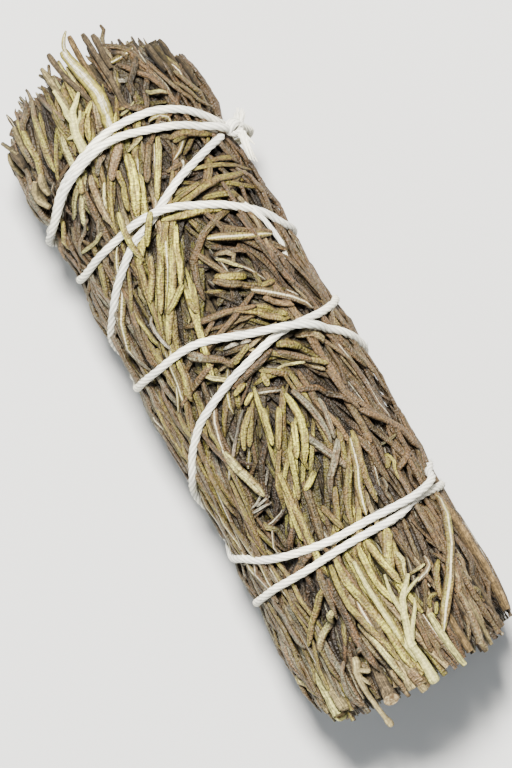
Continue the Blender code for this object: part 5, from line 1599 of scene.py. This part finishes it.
# Where each end of the string comes out of the knot, and the tips that its yarns spread to.
FIRST_END = (-32.8, 16.6, 5.4)
FIRST_TIPS = [(-36.0, 17.9, 3.3), (-35.6, 18.2, 3.1), (-35.1, 18.5, 3.2), (-34.4, 18.7, 3.2)]
LAST_END = (-32.2, 16.4, 5.6)
LAST_TIPS = [(-27.3, 15.9, 6.2), (-28.6, 16.3, 6.0), (-27.8, 15.6, 6.6), (-29.6, 16.8, 5.6)]
knot_draw = np.random.default_rng(3)


def knot_ring(tilt_y, tilt_z):
    """One turn of the knot, nearly closed."""
    t = np.linspace(0, 2 * math.pi * 0.97, 15)
    ring = np.stack([KNOT_TURN * np.cos(t), KNOT_TURN * np.sin(t), 0 * t], axis=1)
    a, b = math.radians(tilt_y), math.radians(tilt_z)
    about_y = np.array([[math.cos(a), 0, math.sin(a)], [0, 1, 0], [-math.sin(a), 0, math.cos(a)]])
    about_z = np.array([[math.cos(b), -math.sin(b), 0], [math.sin(b), math.cos(b), 0], [0, 0, 1]])
    return ring @ about_y.T @ about_z.T + from_axis(*KNOT)


def frayed_yarns(start, tips, count, spread):
    """Loose yarns from one place towards given tips, each with its own bend."""
    lines = []
    for k in range(count):
        tip = np.array(tips[k % len(tips)]) + knot_draw.normal(0, spread, 3)
        root = np.array(start) + knot_draw.normal(0, 0.28, 3)
        bend = knot_draw.normal(0, 0.45, 3)
        t = np.linspace(0, 1, 7)[:, None]
        points = root + (tip - root) * t * knot_draw.uniform(0.8, 1.05) + bend * t * (1 - t)
        lines.append(thread_line(points, YARN_HALF * YARN_GIRTHS))
    return lines


wound = from_axis(route[:, 0], route[:, 1], route[:, 2])
half = STRING_DIAMETER / 2
threads = [thread_line(wound, half * WOUND_GIRTH)]
threads += [thread_line(knot_ring(*tilt), half * KNOT_GIRTH) for tilt in KNOT_TILTS]
threads.append(thread_line(from_axis(*np.array(SLACK_STRAND).T), half * SLACK_GIRTH))
twisted = {"tree": twist, "step": RING_STEP * MM, "lay": LAY * MM}
make_piece("string_wound", "string", "string", threads, string_section, cotton, **twisted)
yarns = frayed_yarns(FIRST_END, FIRST_TIPS, 11, 0.14)
yarns += frayed_yarns(LAST_END, LAST_TIPS, 15, 0.24)
ends_section = section_object("yarn section", round_section(7))
make_piece("string_tails", "string", "string", yarns, ends_section, cotton, **twisted)

# %% [markdown]
# Cotton is never quite clean: single fibres stand off it all along. Each is a short bent thread with
# three sides, too thin to see one by one from a step away.

# %% Loose fibres
FIBRES = 900
FIBRE_HALF = 0.017
FIBRE_LENGTHS, FIBRE_STANDS = (0.5, 1.6), (0.1, 0.45)


def fibre_line():
    """One loose fibre, bowed out of the string between its two ends."""
    k = int(knot_draw.integers(2, len(wound) - 8))
    along = wound[k + 3] - wound[k]
    along /= np.linalg.norm(along)
    away = knot_draw.normal(0, 1, 3) + 0.8 * from_axis(0.0, route[k, 1], 1.0)
    away -= along * (away @ along)
    away /= np.linalg.norm(away)
    length, stand = knot_draw.uniform(*FIBRE_LENGTHS), knot_draw.uniform(*FIBRE_STANDS)
    t = np.linspace(0, 1, 4)[:, None]
    points = wound[k] + away * (half * 0.94 + stand * t * (1.6 - t)) + along * length * t
    return thread_line(points, FIBRE_HALF * np.array([1.0, 1.0, 0.9, 0.5]))


fibre_section = section_object("fibre section", round_section(3))
fibres = [fibre_line() for _ in range(FIBRES)]
make_piece("string_fuzz", "string", "string", fibres, fibre_section, cotton)

# %% Tidy away the helpers
for helper in (needle_section, stem_section, string_section, ends_section, fibre_section):
    bpy.data.objects.remove(helper, do_unlink=True)
print("the dressed bundle has", triangles, "triangles")

# %% [markdown]
# ## Where it lies and how it is lit
# The bundle lies on a plain pale floor, under one soft lamp high over its left end. A much weaker,
# cooler lamp shines from the side away from the knot, and a dim sky fills the shadows.

# %% Floor, lamps and camera
FLOOR_HALF = 2.0
FLOOR_COLOUR = (0.45, 0.45, 0.44)
LAMPS = {  # name: place in metres, size, watts and colour
    "main lamp": ((-0.4, 0.12, 1.08), 0.22, 82.0, (1.0, 0.975, 0.93)),
    "side lamp": ((0.1, -0.5, 0.35), 0.4, 2.5, (0.88, 0.95, 1.0)),
}
SKY_COLOUR, SKY_STRENGTH = (0.92, 0.95, 1.0, 1), 0.4


def floor_object():
    mesh = bpy.data.meshes.new("floor")
    corners = [(-1, -1), (1, -1), (1, 1), (-1, 1)]
    mesh.from_pydata([(FLOOR_HALF * x, FLOOR_HALF * y, 0) for x, y in corners], [], [(0, 1, 2, 3)])
    plain = Finish("plain floor", 0.9)
    plain.give(plain.shader.inputs["Base Color"], FLOOR_COLOUR)
    mesh.materials.append(plain.material)
    return linked("floor", mesh)


def lamp(name, place, size, power, colour):
    data = bpy.data.lights.new(name, "AREA")
    data.size, data.energy, data.color = size, power, colour
    made = linked(name, data)
    made.location = place
    made.rotation_euler = (-Vector(place)).to_track_quat("-Z", "Y").to_euler()
    return made


floor_object()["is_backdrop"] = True
for name, row in LAMPS.items():
    lamp(name, *row)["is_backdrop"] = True
world = bpy.data.worlds.new("soft room")
world.use_nodes = True
world.node_tree.nodes["Background"].inputs["Color"].default_value = SKY_COLOUR
world.node_tree.nodes["Background"].inputs["Strength"].default_value = SKY_STRENGTH
bpy.context.scene.world = world

CAMERA_HEIGHT = 1.35
SENSOR = 36.0
TALL = 0.1152  # height of the view, in metres, where it crosses the level SEEN_LEVEL
SEEN_LEVEL = 0.024
LOOKS_AT = (0.00183, -0.00089)  # the place straight under the camera, in metres
VIEW_ACROSS, VIEW_ALONG = 0.867, 0.498  # the view's turn, as its sine and cosine
camera_data = bpy.data.cameras.new("camera")
camera_data.sensor_width = SENSOR
camera_data.lens = SENSOR / 2 * (CAMERA_HEIGHT - SEEN_LEVEL) / (TALL / 2)
camera_data.clip_start = 0.01
camera = linked("camera", camera_data)
camera.location = (*LOOKS_AT, CAMERA_HEIGHT)
camera.rotation_euler = (0.0, 0.0, math.atan2(VIEW_ACROSS, VIEW_ALONG))
bpy.context.scene.camera = camera

# %% Measure and finish
new_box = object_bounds()
for axis, name in enumerate("xyz"):
    low_side = (cad_box[0][axis] - new_box[0][axis]) / MM
    high_side = (new_box[1][axis] - cad_box[1][axis]) / MM
    print(name, "reaches", round(low_side, 2), "and", round(high_side, 2), "mm past the model")
